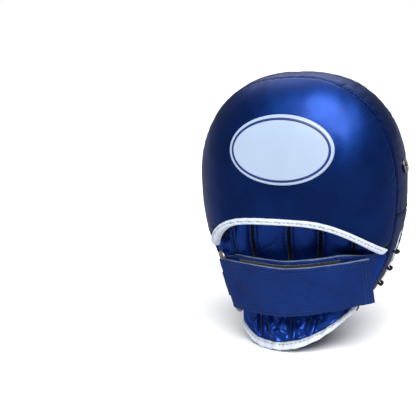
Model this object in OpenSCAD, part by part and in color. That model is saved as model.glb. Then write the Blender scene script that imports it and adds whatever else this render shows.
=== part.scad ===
// Curved focus mitt (air mitt): a domed, laced leather striking pad with a padded
// hood over the fingers, finger ribs in the palm and a hook-and-loop strap over the hand.
// Millimetres. +Z points to the fingertips, -Y is the striking side, +Y is the hand side.
// The origin is the middle of the palm, between the hood's free edge and the strap. The modules
// place everything from the body's bottom edge, z = 0, and the striking face's seam, y = 0,
// and from_hand() then moves it to the origin.

/* [Body] */
// Width of the leather body at its widest
body_w = 195; // [150:1:235]
// Height of the leather body, without the wrist lip
body_h = 240; // [200:1:290]
// Height of the widest line above the bottom edge
waist_z = 135; // [110:1:150]
// Depth of the side band between the striking face and the hand side
band_d = 48; // [40:1:62]
// Outward swell of the side band at its middle
band_swell = 3.3; // [0:0.1:6]
// Height of the dome of the striking face
face_dome = 36; // [20:1:50]
// Thickness of the leather
leather_t = 1.5; // [1:0.1:2.5]
// Height of the sewn joint across the side band
cross_seam_z = 112; // [95:1:130]

/* [Hood] */
// Height of the hood's dome above the side band
hood_dome = 45; // [38:1:60]
// Height of the middle of the hood's free edge
arch_top_z = 115; // [100:1:130]
// Height where the hood's free edge meets the side band, on the flap's side and the ring's side
arch_end_z = [81, 80]; // [66:1:90]
// Thickness of the hood's foam
hood_foam_t = 12; // [6:1:16]
// Thickness of the hood's foam at its free edge
hood_edge_t = 3; // [2:0.5:5]
// Visible width of the white edge binding
binding_w = 6.5; // [4:0.5:9]

/* [Foam] */
// Thickness of the dense foam sheet behind the striking dome
strike_foam_t = 12.6; // [8:0.1:13]
// Room round the core foam for the lacing and the vents
lacing_room = 9.5; // [8.5:0.5:14]
// Thickness of the lining panel that closes the body on the hand side
back_panel_t = 2.6; // [1.5:0.1:4]

/* [Palm] */
// Thickness of the flat pad under the finger ribs
palm_pad_t = 4; // [2:0.5:8]
// Crown height of a finger rib
rib_t = 7; // [4:0.5:10]
// Thickness of a finger rib at its edges
rib_edge_t = 2; // [1:0.5:3]
// Open channel between two finger ribs
rib_gap = 4; // [2:0.5:6]
// Height where the ribs end inside the hood
rib_top_z = 165; // [140:1:180]
// Swell of the plain side panels beside the ribs
side_swell = 4.5; // [2:0.5:7]

/* [Wrist lip] */
// Half width of the lip that the wrist lies on
lip_half_w = 58; // [48:1:64]
// How far the lip hangs below the body's bottom edge
lip_drop = 18; // [6:1:24]
// Place of the lip's lowest point, towards the ring's side
lip_low_x = 30; // [0:1:40]
// Height of the lip's corners above its lowest point, on the flap's side and the ring's side
lip_corner_rise = [38, 12]; // [8:1:40]
// How far the lip flares away from the body
lip_flare = 28; // [16:1:36]
// Thickness of the lip at its free edge
lip_t = 8; // [5:0.5:10]
// Height of the line where the lip starts
lip_top_z = 34; // [28:1:38]

/* [Strap] */
// Width of the strap
strap_w = 50; // [38:1:56]
// Thickness of the sewn leather strap
strap_t = 3.2; // [2.4:0.1:4]
// Thickness of one hook or loop patch
patch_t = 1.0; // [0.8:0.1:1.2]
// Height of the strap's middle above the side band
strap_rise = 40; // [34:1:56]
// Height of the strap's middle line at the ring, in the middle and at its free end
strap_z = [42, 45, 53]; // [36:1:58]

/* [Ring] */
// Diameter of the ring's wire
ring_wire_d = 4; // [3:0.5:5]
// Distance between the ring's two long bars
ring_pitch = 11; // [10:0.5:14]
// Sideways lean of the ring's bars
ring_tilt = 16; // [8:1:32]
// Clearance between the wire and the leather loops round it
ring_clearance = 0.3; // [0.2:0.05:0.6]
// Width of the leather tab that holds the ring
tab_w = 24; // [20:1:34]
// Thickness of the leather of the tab
tab_t = 1.8; // [1.2:0.1:2.4]

/* [Lacing] */
// Diameter of the lace
lace_d = 3; // [2:0.1:3.4]
// Distance between the two rows of lace holes
lace_span = 17; // [14:0.5:19]
// Distance from one crossing of the lace to the next
lace_pitch = 18; // [14:0.5:24]
// Slant of a crossing along the slit
lace_slant = 3; // [0:0.5:6]
// Leather left between a row of lace holes and the open slit
slit_margin = 3.5; // [3:0.5:5]
// Height of the slit's ends above the bottom edge
slit_top_z = 88; // [60:1:90]
// Distance from a row of lace holes to the edge of the white tongue behind the slit
tongue_margin = 2; // [1.8:0.1:2.5]
// Thickness of the tongue
tongue_t = 1.2; // [0.8:0.1:2]

/* [Vents] */
// Height of the vent eyelets above the bottom edge
vent_z = 155; // [140:1:175]
// Inner diameter of the eyelet's barrel
vent_bore_d = 7; // [5:0.5:9]
// Outer diameter of the eyelet's flange
vent_flange_d = 14.5; // [13:0.5:17]
// Wall of the eyelet's barrel
vent_wall = 0.6; // [0.4:0.1:1]

/* [Labels] */
// Width of the oval labels
label_w = 100; // [70:1:110]
// Height of the oval labels
label_h = 63; // [40:1:70]
// Thickness of a label
label_t = 1.2; // [0.8:0.1:2]
// Height of the middle of the front label
front_label_z = 120; // [105:1:140]
// Height of the middle of the back label as a share of the body height
back_label_share = 0.74; // [0.72:0.005:0.76]
// Width of the printed line round a label
label_line_w = 1.8; // [0.8:0.1:2]

/* [Hidden] */

gap = 0.3;                  // air between neighbouring soft pieces
half_w = body_w / 2;
upper_h = body_h - waist_z;
upper_power = 2.33;         // roundness of the outline above the widest line
lower_power = 2.07;         // roundness of the outline below it
mid_y = band_d / 2;
slit_w = lace_span - 2 * slit_margin;
tongue_w = lace_span - 2 * tongue_margin;
back_label_z = body_h * back_label_share;

// Middle of the palm, measured from the bottom edge and the face's seam
hand_point = [0, band_d + 20, 90];
module from_hand() {
    translate(-hand_point) children();
}

// ---- small helpers ----
function signed_power(v, p) = sign(v) * pow(abs(v), p);
function mix(a, b, k) = a + (b - a) * k;
function clamp01(v) = max(0, min(1, v));
function ease(v) = let(k = clamp01(v)) k * k * (3 - 2 * k);
function unit(v) = v / norm(v);
function steps(a, b, n) = [for (i = [0 : n]) a + (b - a) * i / n];

// ---- the outline of the body, seen from the hand side; d is the inset ----
function outline_x(t, d) = (half_w - d) * signed_power(cos(t), 2 / (sin(t) < 0 ? lower_power : upper_power));
function outline_z(t, d) = sin(t) < 0
    ? waist_z + (waist_z - d) * signed_power(sin(t), 2 / lower_power)
    : waist_z + (upper_h - d) * signed_power(sin(t), 2 / upper_power);
function outline(d, n = 48) = [for (i = [0 : n - 1]) [outline_x(360 * i / n, d), outline_z(360 * i / n, d)]];

// Half width of the outline at a height
function edge_x(z, d) =
    let(h = z < waist_z ? waist_z - d : upper_h - d, p = z < waist_z ? lower_power : upper_power)
    (half_w - d) * pow(max(0, 1 - pow(min(1, abs(z - waist_z) / h), p)), 1 / p);

// The outline's parameter at a height below the widest line, on the +X side
function edge_t(z) = -asin(pow((waist_z - z) / waist_z, lower_power / 2));

// 0 in the middle of the body, 1 on the outline
function radial(x, z, d) =
    let(h = z < waist_z ? waist_z - d : upper_h - d, p = z < waist_z ? lower_power : upper_power)
    pow(pow(abs(x) / (half_w - d), p) + pow(abs(z - waist_z) / h, p), 1 / p);

// ---- the three outer surfaces ----
function face_y(r, d) = -(face_dome - d) * pow(max(0, 1 - pow(r, 1.55)), 1 / 1.71);
function face_point(t, r, d) =
    [outline_x(t, d) * r, face_y(r, d) - gap / 2, waist_z + (outline_z(t, d) - waist_z) * r];
function band_inset(y, d) = d - band_swell * sin(180 * clamp01(y / band_d));
function band_point(t, y, d) = [outline_x(t, band_inset(y, d)), y, outline_z(t, band_inset(y, d))];
function hood_y(x, z, d) =
    band_d + gap + (hood_dome - d) * pow(max(0, 1 - pow(min(1, radial(x, z, d)), 3.77)), 1 / 1.157);

// ---- solids between two grids of points ----
function flat(g) = [for (row = g) each row];
function quad(a, b, c, d) = [[a, b, c], [a, c, d]];

// top and bottom are grids of the same size. wrap joins the last column to the first,
// and cap closes the first row of each grid to a point.
module between(top, bottom, wrap = false, cap = false) {
    rows = len(top);
    cols = len(top[0]);
    n = rows * cols;
    last = wrap ? cols - 1 : cols - 2;
    points = concat(flat(top), flat(bottom), cap ? [centre(top[0]), centre(bottom[0])] : []);
    faces = concat(
        [for (i = [0 : rows - 2], j = [0 : last]) let(a = i * cols + j, b = i * cols + (j + 1) % cols)
            each quad(a, b, b + cols, a + cols)],
        [for (i = [0 : rows - 2], j = [0 : last]) let(a = n + i * cols + j, b = n + i * cols + (j + 1) % cols)
            each quad(b, a, a + cols, b + cols)],
        [for (j = [0 : last]) let(a = (rows - 1) * cols + j, b = (rows - 1) * cols + (j + 1) % cols)
            each quad(a, b, b + n, a + n)],
        cap ? [for (j = [0 : last]) [(j + 1) % cols, j, 2 * n]]
            : [for (j = [0 : last]) each quad((j + 1) % cols, j, j + n, (j + 1) % cols + n)],
        cap ? [for (j = [0 : last]) [n + j, n + (j + 1) % cols, 2 * n + 1]] : [],
        wrap ? [] : [for (i = [0 : rows - 2]) each quad(i * cols, (i + 1) * cols, (i + 1) * cols + n, i * cols + n)],
        wrap ? [] : [for (i = [0 : rows - 2]) let(a = i * cols + cols - 1, b = a + cols)
            each quad(b, a, a + n, b + n)]);
    polyhedron(points, faces);
}
function centre(row) = [for (k = [0 : 2]) vsum([for (p = row) p[k]]) / len(row)];
function vsum(v, i = 0) = i == len(v) ? 0 : v[i] + vsum(v, i + 1);

// A flat sheet of the body's outline from y0 to y1
module outline_sheet(y0, y1, d) {
    translate([0, y1, 0]) rotate([90, 0, 0]) linear_extrude(y1 - y0) polygon(outline(d));
}

// ---- striking face ----
face_radii = [0.08, 0.3, 0.5, 0.66, 0.8, 0.9, 0.97, 1];
face_angles = [for (i = [0 : 47]) -7.5 * i];
function face_grid(d) = [for (r = face_radii) [for (t = face_angles) face_point(t, r, d)]];
foam_inset = leather_t + 0.5;

module front_cover() {
    color("#1c3f9c") from_hand() between(face_grid(leather_t), face_grid(0), wrap = true, cap = true);
}

module impact_foam() {
    back = [for (r = face_radii) [for (t = face_angles) let(p = face_point(t, r, foam_inset)) [p.x, gap, p.z]]];
    color("#d9d4c8") from_hand() between(back, face_grid(foam_inset), wrap = true, cap = true);
}

// ---- foam sheets inside the side band ----
sheet_gap = 0.5;            // air between two foam sheets
lace_room = lace_span / 2 + lace_d / 2 + gap;
strike_y = [2 * gap, min(2 * gap + strike_foam_t, mid_y - lace_room - sheet_gap)];
core_y = [strike_y[1] + sheet_gap, mid_y + lace_room];
back_panel_y = [band_d - back_panel_t - gap, band_d - gap];
back_foam_y = [core_y[1] + gap, back_panel_y[0] - gap];

module strike_foam() {
    color("#3b3b3d") from_hand() outline_sheet(strike_y[0], strike_y[1], foam_inset);
}

module core_foam() {
    color("#cfc9ba") from_hand() outline_sheet(core_y[0], core_y[1], lacing_room);
}

module back_foam() {
    color("#d9d4c8") from_hand() outline_sheet(back_foam_y[0], back_foam_y[1], foam_inset);
}

module back_panel() {
    color("#141416") from_hand() outline_sheet(back_panel_y[0], back_panel_y[1], foam_inset);
}

// ---- side band ----
seam_t = edge_t(cross_seam_z);
seam_step = 0.12;           // half the gap at the cross seam, as an outline parameter
band_rows = [gap / 2, band_d * 0.2, band_d * 0.5, band_d * 0.8, band_d - gap / 2];
function band_grid(t0, t1, n, d) = [for (y = band_rows) [for (t = steps(t0, t1, n)) band_point(t, y, d)]];

// Outline parameter at a distance along the slit, measured from the slit's end on the -X side
slit_t0 = 180 - edge_t(slit_top_z);
slit_t1 = 360 + edge_t(slit_top_z);
slit_ts = steps(slit_t0, slit_t1, 72);
function run_lengths(ts, i = 1, sum = 0) = i == len(ts) ? [] :
    let(a = band_point(ts[i - 1], mid_y, 0), b = band_point(ts[i], mid_y, 0), s = sum + norm(b - a))
    concat([[s, ts[i]]], run_lengths(ts, i + 1, s));
slit_table = concat([[0, slit_t0]], run_lengths(slit_ts));
slit_len = slit_table[len(slit_table) - 1][0];
lace_turns = floor((slit_len - lace_d - lace_slant) / lace_pitch);
lace_start = (slit_len - (lace_turns - 1) * lace_pitch - lace_slant) / 2;
function slit_t(s) = lookup(s, slit_table);
function outward(t) = unit([outline_x(t, -1) - outline_x(t, 0), 0, outline_z(t, -1) - outline_z(t, 0)]);
lace_hole_d = lace_d + 1.2;

// A round cutter through the side band at a distance along the slit
module band_hole(s, y, hole_d) {
    t = slit_t(s);
    p = band_point(t, y, 0);
    n = outward(t);
    translate(p) rotate([0, atan2(n.x, n.z), 0]) cylinder(d = hole_d, h = 3 * leather_t + 3, center = true, $fn = 16);
}

module vent_place(side) {
    n = outward(asin(pow((vent_z - waist_z) / upper_h, upper_power / 2)));
    translate([side * (edge_x(vent_z, 0) + band_swell * n.x), mid_y, vent_z])
        rotate([0, side * atan2(n.x, n.z), 0]) children();
}
vent_barrel_d = vent_bore_d + 2 * vent_wall;

module gusset_upper() {
    color("#1a3a90") from_hand() difference() {
        between(band_grid(180 - seam_t - seam_step, seam_t + seam_step, 44, leather_t),
                band_grid(180 - seam_t - seam_step, seam_t + seam_step, 44, 0));
        for (side = [-1, 1]) vent_place(side)
            cylinder(d = vent_barrel_d + 2 * gap, h = 4 * leather_t, center = true, $fn = 32);
    }
}

module gusset_lower() {
    color("#1a3a90") from_hand() difference() {
        between(band_grid(360 + seam_t - seam_step, 180 - seam_t + seam_step, 44, leather_t),
                band_grid(360 + seam_t - seam_step, 180 - seam_t + seam_step, 44, 0));
        translate([-body_w, mid_y - slit_w / 2, -body_h]) cube([2 * body_w, slit_w, body_h + slit_top_z]);
        translate([0, mid_y, slit_top_z]) rotate([0, 90, 0])
            cylinder(d = slit_w, h = 2 * body_w, center = true, $fn = 32);
        for (i = [0 : lace_turns - 1]) {
            band_hole(lace_start + i * lace_pitch, mid_y + lace_span / 2, lace_hole_d);
            band_hole(lace_start + i * lace_pitch + lace_slant, mid_y - lace_span / 2, lace_hole_d);
        }
    }
}

// ---- lacing: a white tongue behind the slit and one lace whipped over it ----
tongue_over = 4;            // how far the tongue runs past the slit's ends
tongue_d = leather_t + 0.5;

module lace_tongue() {
    ts = steps(180 - edge_t(slit_top_z + slit_w / 2 + tongue_over),
               360 + edge_t(slit_top_z + slit_w / 2 + tongue_over), 44);
    ys = [mid_y - tongue_w / 2, mid_y, mid_y + tongue_w / 2];
    outer = [for (y = ys) [for (t = ts) band_point(t, y, tongue_d)]];
    inner = [for (y = ys) [for (t = ts) band_point(t, y, tongue_d + tongue_t)]];
    color("#e8ecf4") from_hand() between(outer, inner);
}

// One turn of the lace: its place across the slit as a share of the half span, its height
// above the leather's middle and how far it has gone along the crossing or the return
lace_over = leather_t / 2 + lace_d / 2 + 0.6;
lace_under = tongue_d + tongue_t + lace_d / 2 + 0.5 - leather_t / 2;
lace_turn = [[1, 0, 0], [0.97, 0.6, 0.03], [0.76, 1, 0.14], [-0.76, 1, 0.86], [-0.97, 0.6, 0.97],
             [-1, 0, 0], [-1, -0.62, 0.02], [-0.84, -0.98, 0.12], [0.84, -0.98, 0.88], [1, -0.62, 0.98]];
// Centre of the lace at step k of turn i
function lace_point(i, k) =
    let(step = lace_turn[k],
        along = k < 5 ? lace_slant * step[2] : lace_slant + (lace_pitch - lace_slant) * step[2],
        y = mid_y + step[0] * lace_span / 2,
        lift = step[1] * (step[1] > 0 ? lace_over : lace_under))
    band_point(slit_t(lace_start + i * lace_pitch + along), y, leather_t / 2 - lift);
lace_path = [for (i = [0 : lace_turns - 1], k = [0 : 9]) if (i < lace_turns - 1 || k < 7) lace_point(i, k)];

// A round tube along a path; side_dir(i) is a direction that the path never follows
module tube(path, d, sides) {
    n = len(path);
    rings = [for (i = [0 : n - 1]) let(
        dir = unit(path[min(n - 1, i + 1)] - path[max(0, i - 1)]),
        along = unit([path[i].z - waist_z, 0, -path[i].x]),
        u = unit(along - dir * (along * dir)), v = cross(dir, u))
        [for (k = [0 : sides - 1]) path[i] + (u * cos(360 * k / sides) + v * sin(360 * k / sides)) * d / 2]];
    faces = concat(
        [for (i = [0 : n - 2], k = [0 : sides - 1]) let(a = i * sides + k, b = i * sides + (k + 1) % sides)
            each quad(b, a, a + sides, b + sides)],
        [[for (k = [0 : sides - 1]) k]],
        [[for (k = [sides - 1 : -1 : 0]) (n - 1) * sides + k]]);
    polyhedron(flat(rings), faces);
}

module side_lace() {
    color("#0d0d10") from_hand() tube(lace_path, lace_d, 8);
}

// ---- vent eyelets: a flanged barrel and a washer inside the band ----
vent_flange_t = 1.2;
vent_seat = 0.6;            // the flange stands on the highest point of the curved leather
vent_barrel_len = leather_t + 4;

module vent_eyelet(side) {
    color("#c9c7c0") from_hand() vent_place(side) rotate_extrude($fn = 48) polygon([
        [vent_bore_d / 2, -vent_barrel_len],
        [vent_barrel_d / 2, -vent_barrel_len],
        [vent_barrel_d / 2, vent_seat],
        [vent_flange_d / 2, vent_seat],
        [vent_flange_d / 2 - 0.6, vent_seat + vent_flange_t * 0.7],
        [vent_flange_d / 2 - 2, vent_seat + vent_flange_t],
        [vent_bore_d / 2 + 0.8, vent_seat + vent_flange_t],
        [vent_bore_d / 2, vent_seat + vent_flange_t * 0.5]]);
}

module vent_washer(side) {
    color("#b9b7b0") from_hand() vent_place(side) translate([0, 0, -leather_t - 1.8]) difference() {
        cylinder(d = vent_flange_d, h = 0.8, $fn = 48);
        translate([0, 0, -1]) cylinder(d = vent_barrel_d + 0.2, h = 3, $fn = 48);
    }
}

module vent_eyelet_left() { vent_eyelet(-1); }
module vent_eyelet_right() { vent_eyelet(1); }
module vent_washer_left() { vent_washer(-1); }
module vent_washer_right() { vent_washer(1); }

// ---- hood ----
arch_power = [2.9, 4.2];    // squareness of the free edge, on the flap's side and the ring's side
hood_reach = 0.975;         // share of the arch that the hood covers, the rest is binding
hood_us = steps(hood_reach, -hood_reach, 28);
hood_vs = [0, 0.06, 0.16, 0.3, 0.46, 0.62, 0.78, 0.9, 0.97, 1];
function arch_end(u) = mix(arch_end_z[0], arch_end_z[1], (u + 1) / 2);
function arch_pow(u) = u < 0 ? arch_power[0] : arch_power[1];
function arch_z(u) = arch_top_z - (arch_top_z - arch_end(u)) * pow(abs(u), arch_pow(u));
function arch_x(u, d) = u * edge_x(arch_end(u), d);
function hood_point(u, v, d) =
    let(t = 90 - u * (90 - edge_t(arch_end(u))),
        x = mix(arch_x(u, d), outline_x(t, d), v),
        z = mix(arch_z(u), outline_z(t, d), v))
    [x, v == 1 ? band_d + gap : hood_y(x, z, d), z];
// A layer of the hood whose inset grows from the free edge to its full depth
function hood_grid(d_edge, d_full) =
    [for (v = hood_vs) [for (u = hood_us) hood_point(u, v, mix(d_edge, d_full, ease(v / 0.3)))]];
hood_foam_d = leather_t + 0.4;
lining_edge_d = hood_foam_d + hood_edge_t + 0.9;
lining_full_d = hood_foam_d + hood_foam_t + 1.2;
lining_t = 1;

module hood_cover() {
    color("#1c3f9c") from_hand() between(hood_grid(leather_t, leather_t), hood_grid(0, 0));
}

module hood_foam() {
    color("#d9d4c8") from_hand() between(
        hood_grid(hood_foam_d + hood_edge_t, hood_foam_d + hood_foam_t), hood_grid(hood_foam_d, hood_foam_d));
}

module hood_lining() {
    color("#101014") from_hand() between(
        hood_grid(lining_edge_d + lining_t, lining_full_d + lining_t), hood_grid(lining_edge_d, lining_full_d));
}

// ---- palm: a flat pad, four padded ribs and two plain side panels ----
// Edges of the ribs at the upper height and at the wrist, from +X to -X
rib_upper_z = 85;
rib_lower_z = 5;
rib_upper_x = [66, 44, 7, -25, -58];
rib_lower_x = [49, 34, 2, -17, -46];
palm_y = band_d + palm_pad_t + 2 * gap;
lip_power = 2.4;
function lip_z(x) = -lip_drop + (x < lip_low_x
    ? lip_corner_rise[0] * pow(min(1, (lip_low_x - x) / (lip_half_w + lip_low_x)), lip_power)
    : lip_corner_rise[1] * pow(min(1, (x - lip_low_x) / (lip_half_w - lip_low_x)), lip_power));
function lip_depth(x, z) = clamp01((lip_top_z - z) / (lip_top_z - lip_z(x)));
function palm_base_y(x, z) =
    palm_y + lip_flare * (1 - pow(min(1, x / lip_half_w), 2)) * pow(lip_depth(x, z), 1.6);
function rib_x(k, z) = mix(rib_lower_x[k], rib_upper_x[k], (z - rib_lower_z) / (rib_upper_z - rib_lower_z));
// Above the upper height the ribs run straight up
function rib_edge_x(k, z) = rib_x(k, min(z, rib_upper_z));
hood_foot = lining_full_d + lining_t + 1;
function panel_inset(z) = mix(tab_room, hood_foot, ease((z - min(arch_end_z) + 12) / 18));
tab_room = 5;
palm_low_z = lip_top_z + 1.5;

module palm_pad() {
    zs = [palm_low_z, 46, 60, 80, 105, 130, rib_top_z + 6];
    function pad_x(side, z) = side * min(abs(rib_edge_x(side > 0 ? 0 : 4, z)), edge_x(z, panel_inset(z)) - rib_gap);
    function row(y) = [for (z = zs) [for (k = steps(1, 0, 6)) [mix(pad_x(-1, z), pad_x(1, z), k), y, z]]];
    color("#131316") from_hand() between(row(band_d + gap), row(band_d + palm_pad_t));
}

module palm_rib(k) {
    ss = steps(0, 1, 6);
    vs = [0, 0.12, 0.25, 0.38, 0.5, 0.6, 0.68, 0.75, 0.81, 0.87, 0.93, 1];
    function spot(s, v) =
        let(x_low = mix(rib_lower_x[k] - rib_gap / 2, rib_lower_x[k + 1] + rib_gap / 2, s),
            z = mix(rib_top_z, lip_z(x_low) + binding_w + 1.6, v),
            x = mix(rib_edge_x(k, z) - rib_gap / 2, rib_edge_x(k + 1, z) + rib_gap / 2, s))
        [x, palm_base_y(x, z), z];
    function crown(s, v) = mix(rib_edge_t, rib_t, sin(180 * s)) * mix(0.45, 1, ease(min(v, 1 - v) / 0.12));
    lower = [for (v = vs) [for (s = ss) spot(s, v)]];
    upper = [for (v = vs) [for (s = ss) spot(s, v) + [0, crown(s, v), 0]]];
    color("#1f46a8") from_hand() between(upper, lower);
}

module palm_rib_1() { palm_rib(0); }
module palm_rib_2() { palm_rib(1); }
module palm_rib_3() { palm_rib(2); }
module palm_rib_4() { palm_rib(3); }

// Height of a side panel's face at a share s of its width, 0 at the ribs and 1 at the edge
function panel_face_y(s) = band_d + gap + 1.2 + side_swell * (1 - s * s);

module side_panel(side) {
    zs = [palm_low_z + 6, 52, 64, 76, 88, 104, 120, 136, 150];
    function inner_x(z) = side * (abs(rib_edge_x(side > 0 ? 0 : 4, z)) + gap);
    function outer_x(z) = side * max(abs(inner_x(z)) + 3, edge_x(z, panel_inset(z)));
    ss = side > 0 ? steps(1, 0, 5) : steps(0, 1, 5);
    back = [for (z = zs) [for (s = ss) [mix(inner_x(z), outer_x(z), s), band_d + gap, z]]];
    face = [for (z = zs) [for (s = ss) [mix(inner_x(z), outer_x(z), s), panel_face_y(s), z]]];
    color("#1c3f9c") from_hand() between(back, face);
}

module side_panel_left() { side_panel(-1); }
module side_panel_right() { side_panel(1); }

// ---- wrist lip and the white bindings ----
lip_us = steps(1, -1, 24);

module wrist_lip() {
    vs = [0, 0.2, 0.4, 0.6, 0.8, 1];
    function spot(u, v) = let(x = u * lip_half_w) [x, 0, mix(lip_top_z, lip_z(x) + binding_w + 0.5, v)];
    function thick(v) = mix(palm_pad_t - gap, lip_t, v);
    face = [for (v = vs) [for (u = lip_us) let(p = spot(u, v)) [p.x, palm_base_y(p.x, p.z) - gap, p.z]]];
    back = [for (v = vs) [for (u = lip_us) let(p = spot(u, v))
        [p.x, max(band_d + gap, palm_base_y(p.x, p.z) - gap - thick(v)), p.z]]];
    color("#1b3c96") from_hand() between(face, back);
}

module wrist_binding() {
    vs = [0, 0.5, 1];
    function spot(u, v) = let(x = u * lip_half_w) [x, 0, mix(lip_z(x) + binding_w, lip_z(x), v)];
    face = [for (v = vs) [for (u = lip_us) let(p = spot(u, v))
        [p.x, palm_base_y(p.x, p.z) + 1.6 - 0.8 * abs(2 * v - 1), p.z]]];
    back = [for (v = vs) [for (u = lip_us) let(p = spot(u, v))
        [p.x, max(band_d + gap, palm_base_y(p.x, p.z) - lip_t - 1.2 + 0.8 * abs(2 * v - 1)), p.z]]];
    color("#e9edf6") from_hand() between(face, back);
}

// Share of a side panel's width at a place, and the face of the panel there
function panel_share(x, z) =
    let(a = abs(rib_edge_x(x > 0 ? 0 : 4, z)), b = edge_x(z, panel_inset(z)))
    clamp01((abs(x) - a) / max(1, b - a));

module hood_binding() {
    us = steps(1, -1, 36);
    vs = [0, 0.25, 0.5, 0.75, 1];
    function into(u) =
        let(drop = arch_top_z - arch_end(u), n = arch_pow(u),
            slope = -drop * n * sign(u) * pow(abs(u), n - 1) / abs(arch_x(sign(u), 0) + (u == 0 ? 1 : 0)))
        unit([slope, 0, -1]);
    function spot(u, v, d) = [arch_x(u, d), 0, arch_z(u)] + into(u) * mix(2 * gap, binding_w, v);
    function low_y(p) = max(hood_y(p.x, p.z, lining_edge_d + lining_t + 0.6),
                            panel_face_y(panel_share(p.x, p.z)) + gap);
    function high_y(p, v) = max(hood_y(p.x, p.z, -0.5 - 0.6 * sin(180 * v)), low_y(p) + 2);
    inner = [for (v = vs) [for (u = us) let(p = spot(u, v, lining_edge_d + lining_t)) [p.x, low_y(p), p.z]]];
    outer = [for (v = vs) [for (u = us) let(p = spot(u, v, 0)) [p.x, high_y(p, v), p.z]]];
    color("#e9edf6") from_hand() between(outer, inner);
}

// ---- labels: an oval patch and a raised printed line, on the face and on the hood ----
label_angles = [for (i = [0 : 35]) 10 * i];
line_share = 0.9;           // size of the printed line's oval against the label's
function oval(r, t, z0) = [r * label_w / 2 * cos(t), z0 + r * label_h / 2 * sin(t)];
function front_spot(q, lift) = [q[0], face_y(radial(q[0], q[1], 0), 0) - gap / 2 - lift, q[1]];
function back_spot(q, lift) = [q[0], hood_y(q[0], q[1], 0) + lift, q[1]];

module front_label() {
    function row(lift) = [for (r = [0.2, 0.5, 0.78, 1]) [for (t = label_angles) front_spot(oval(r, -t, front_label_z), lift)]];
    color("#dfe6f6") from_hand() between(row(gap), row(gap + label_t), wrap = true, cap = true);
}

module front_label_line() {
    rs = [line_share, line_share + 2 * label_line_w / label_h];
    function row(lift) = [for (r = rs) [for (t = label_angles) front_spot(oval(r, -t, front_label_z), lift)]];
    color("#1c2f6b") from_hand() between(row(label_t + 2 * gap), row(label_t + 2 * gap + 0.3), wrap = true);
}

module back_label() {
    function row(lift) = [for (r = [0.2, 0.5, 0.78, 1]) [for (t = label_angles) back_spot(oval(r, t, back_label_z), lift)]];
    color("#dfe6f6") from_hand() between(row(gap), row(gap + label_t), wrap = true, cap = true);
}

module back_label_line() {
    rs = [line_share, line_share + 2 * label_line_w / label_h];
    function row(lift) = [for (r = rs) [for (t = label_angles) back_spot(oval(r, t, back_label_z), lift)]];
    color("#1c2f6b") from_hand() between(row(label_t + 2 * gap), row(label_t + 2 * gap + 0.3), wrap = true);
}

// ---- strap: sewn on at -X, through the ring at +X and back over itself ----
bar_pos = [edge_x(strap_z[0], 0) - 7.2, band_d + 13, strap_z[0]];
free_end = [-edge_x(strap_z[2], 0) + 5.8, band_d + 9, strap_z[2]];
crown_y = band_d + strap_rise;
bar_dir = [sin(ring_tilt), 0, cos(ring_tilt)];
strap_lead = 34;            // slope of the strap where it leaves the ring
lead_local = [-cos(strap_lead), sin(strap_lead)];
function ring_frame(x, y, z) =
    [x * cos(ring_tilt) + z * sin(ring_tilt), y, -x * sin(ring_tilt) + z * cos(ring_tilt)];
lead_dir = ring_frame(lead_local[0], lead_local[1], 0);
lead_out = ring_frame(sin(strap_lead), cos(strap_lead), 0);
wrap_r = ring_wire_d / 2 + ring_clearance;
seat = patch_t + 0.5;       // half the distance between the strap's two layers

// Middle of the strap at a place k: 1 at the ring, 0 in the middle, -1 at the free end
function strap_mid(k) = k > 0
    ? [k * bar_pos.x, mix(crown_y, bar_pos.y, pow(k, 1.85)), mix(strap_z[1], bar_pos.z, k * k)]
    : [-k * free_end.x, mix(crown_y, free_end.y, k * k), mix(strap_z[1], free_end.z, -k)];
function strap_across(k) = k > 0
    ? unit([tan(ring_tilt) * pow(k, 1.5), 0.2 * (1 - k), 1])
    : unit([0, 0.2 - 0.18 * k, 1]);
function strap_along(k) = unit(strap_mid(max(-1, k - 0.02)) - strap_mid(min(1, k + 0.02)));
function strap_out(k) = unit(cross(strap_across(k), -strap_along(k)));
// A point of the strap: w from -1 to 1 across it, lift away from the hand
function strap_point(k, w, lift, shift = 0) =
    strap_mid(k) + strap_across(k) * (w * strap_w / 2) + [0, 0, shift] + strap_out(k) * lift;
function strap_start(w, lift, run) = bar_pos + bar_dir * (w * strap_w / 2) + lead_out * lift + lead_dir * run;
strap_ws = [1, 0.5, 0, -0.5, -1];
function near_ring(k) = ease((k - 0.78) / 0.22);
function layer_lift(k) = mix(seat, wrap_r, near_ring(k));
flap_ks = [0.93, 0.84, 0.72, 0.58, 0.42, 0.26, 0.1, -0.06, -0.22, -0.38, -0.54, -0.7, -0.86, -1];
crease_run = 0.3;           // where the flap's fold starts, past the ring's bar
inner_run = 3;              // room for the ring to swing, past the ring's bar
inner_shift = 4;            // how much higher the under layer sits than the flap

module strap_flap() {
    function layer(extra) = concat(
        [[for (w = strap_ws) strap_start(w, wrap_r + extra, crease_run)]],
        [for (k = flap_ks) [for (w = strap_ws) strap_point(k, w, layer_lift(k) + extra)]]);
    color("#1a3580") from_hand() between(layer(0), layer(strap_t));
}

module strap_hook_patch() {
    ks = [-0.1, -0.25, -0.4, -0.55, -0.7, -0.85, -0.96];
    function layer(lift) = [for (k = ks) [for (w = strap_ws) strap_point(k, 0.88 * w, lift)]];
    color("#0c0c0e") from_hand() between(layer(gap / 2), layer(gap / 2 + patch_t));
}

// The under layer leaves the flap's curve near its sewn end and runs down to the body's edge
root_top_z = min(arch_end_z[0] - 3, strap_z[2] + strap_w / 2);
root_low_z = root_top_z - strap_w * 0.86;
function root_point(w) =
    let(z = mix(root_low_z, root_top_z, (w + 1) / 2)) [-edge_x(z, 2 + strap_t), band_d + 1 + strap_t, z];
inner_last_k = -0.74;
root_share = 0.55;          // where the under layer bulges, between its last place and its root
root_swell = 3;
root_normal = [0.7, 0.5, 0];

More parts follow.
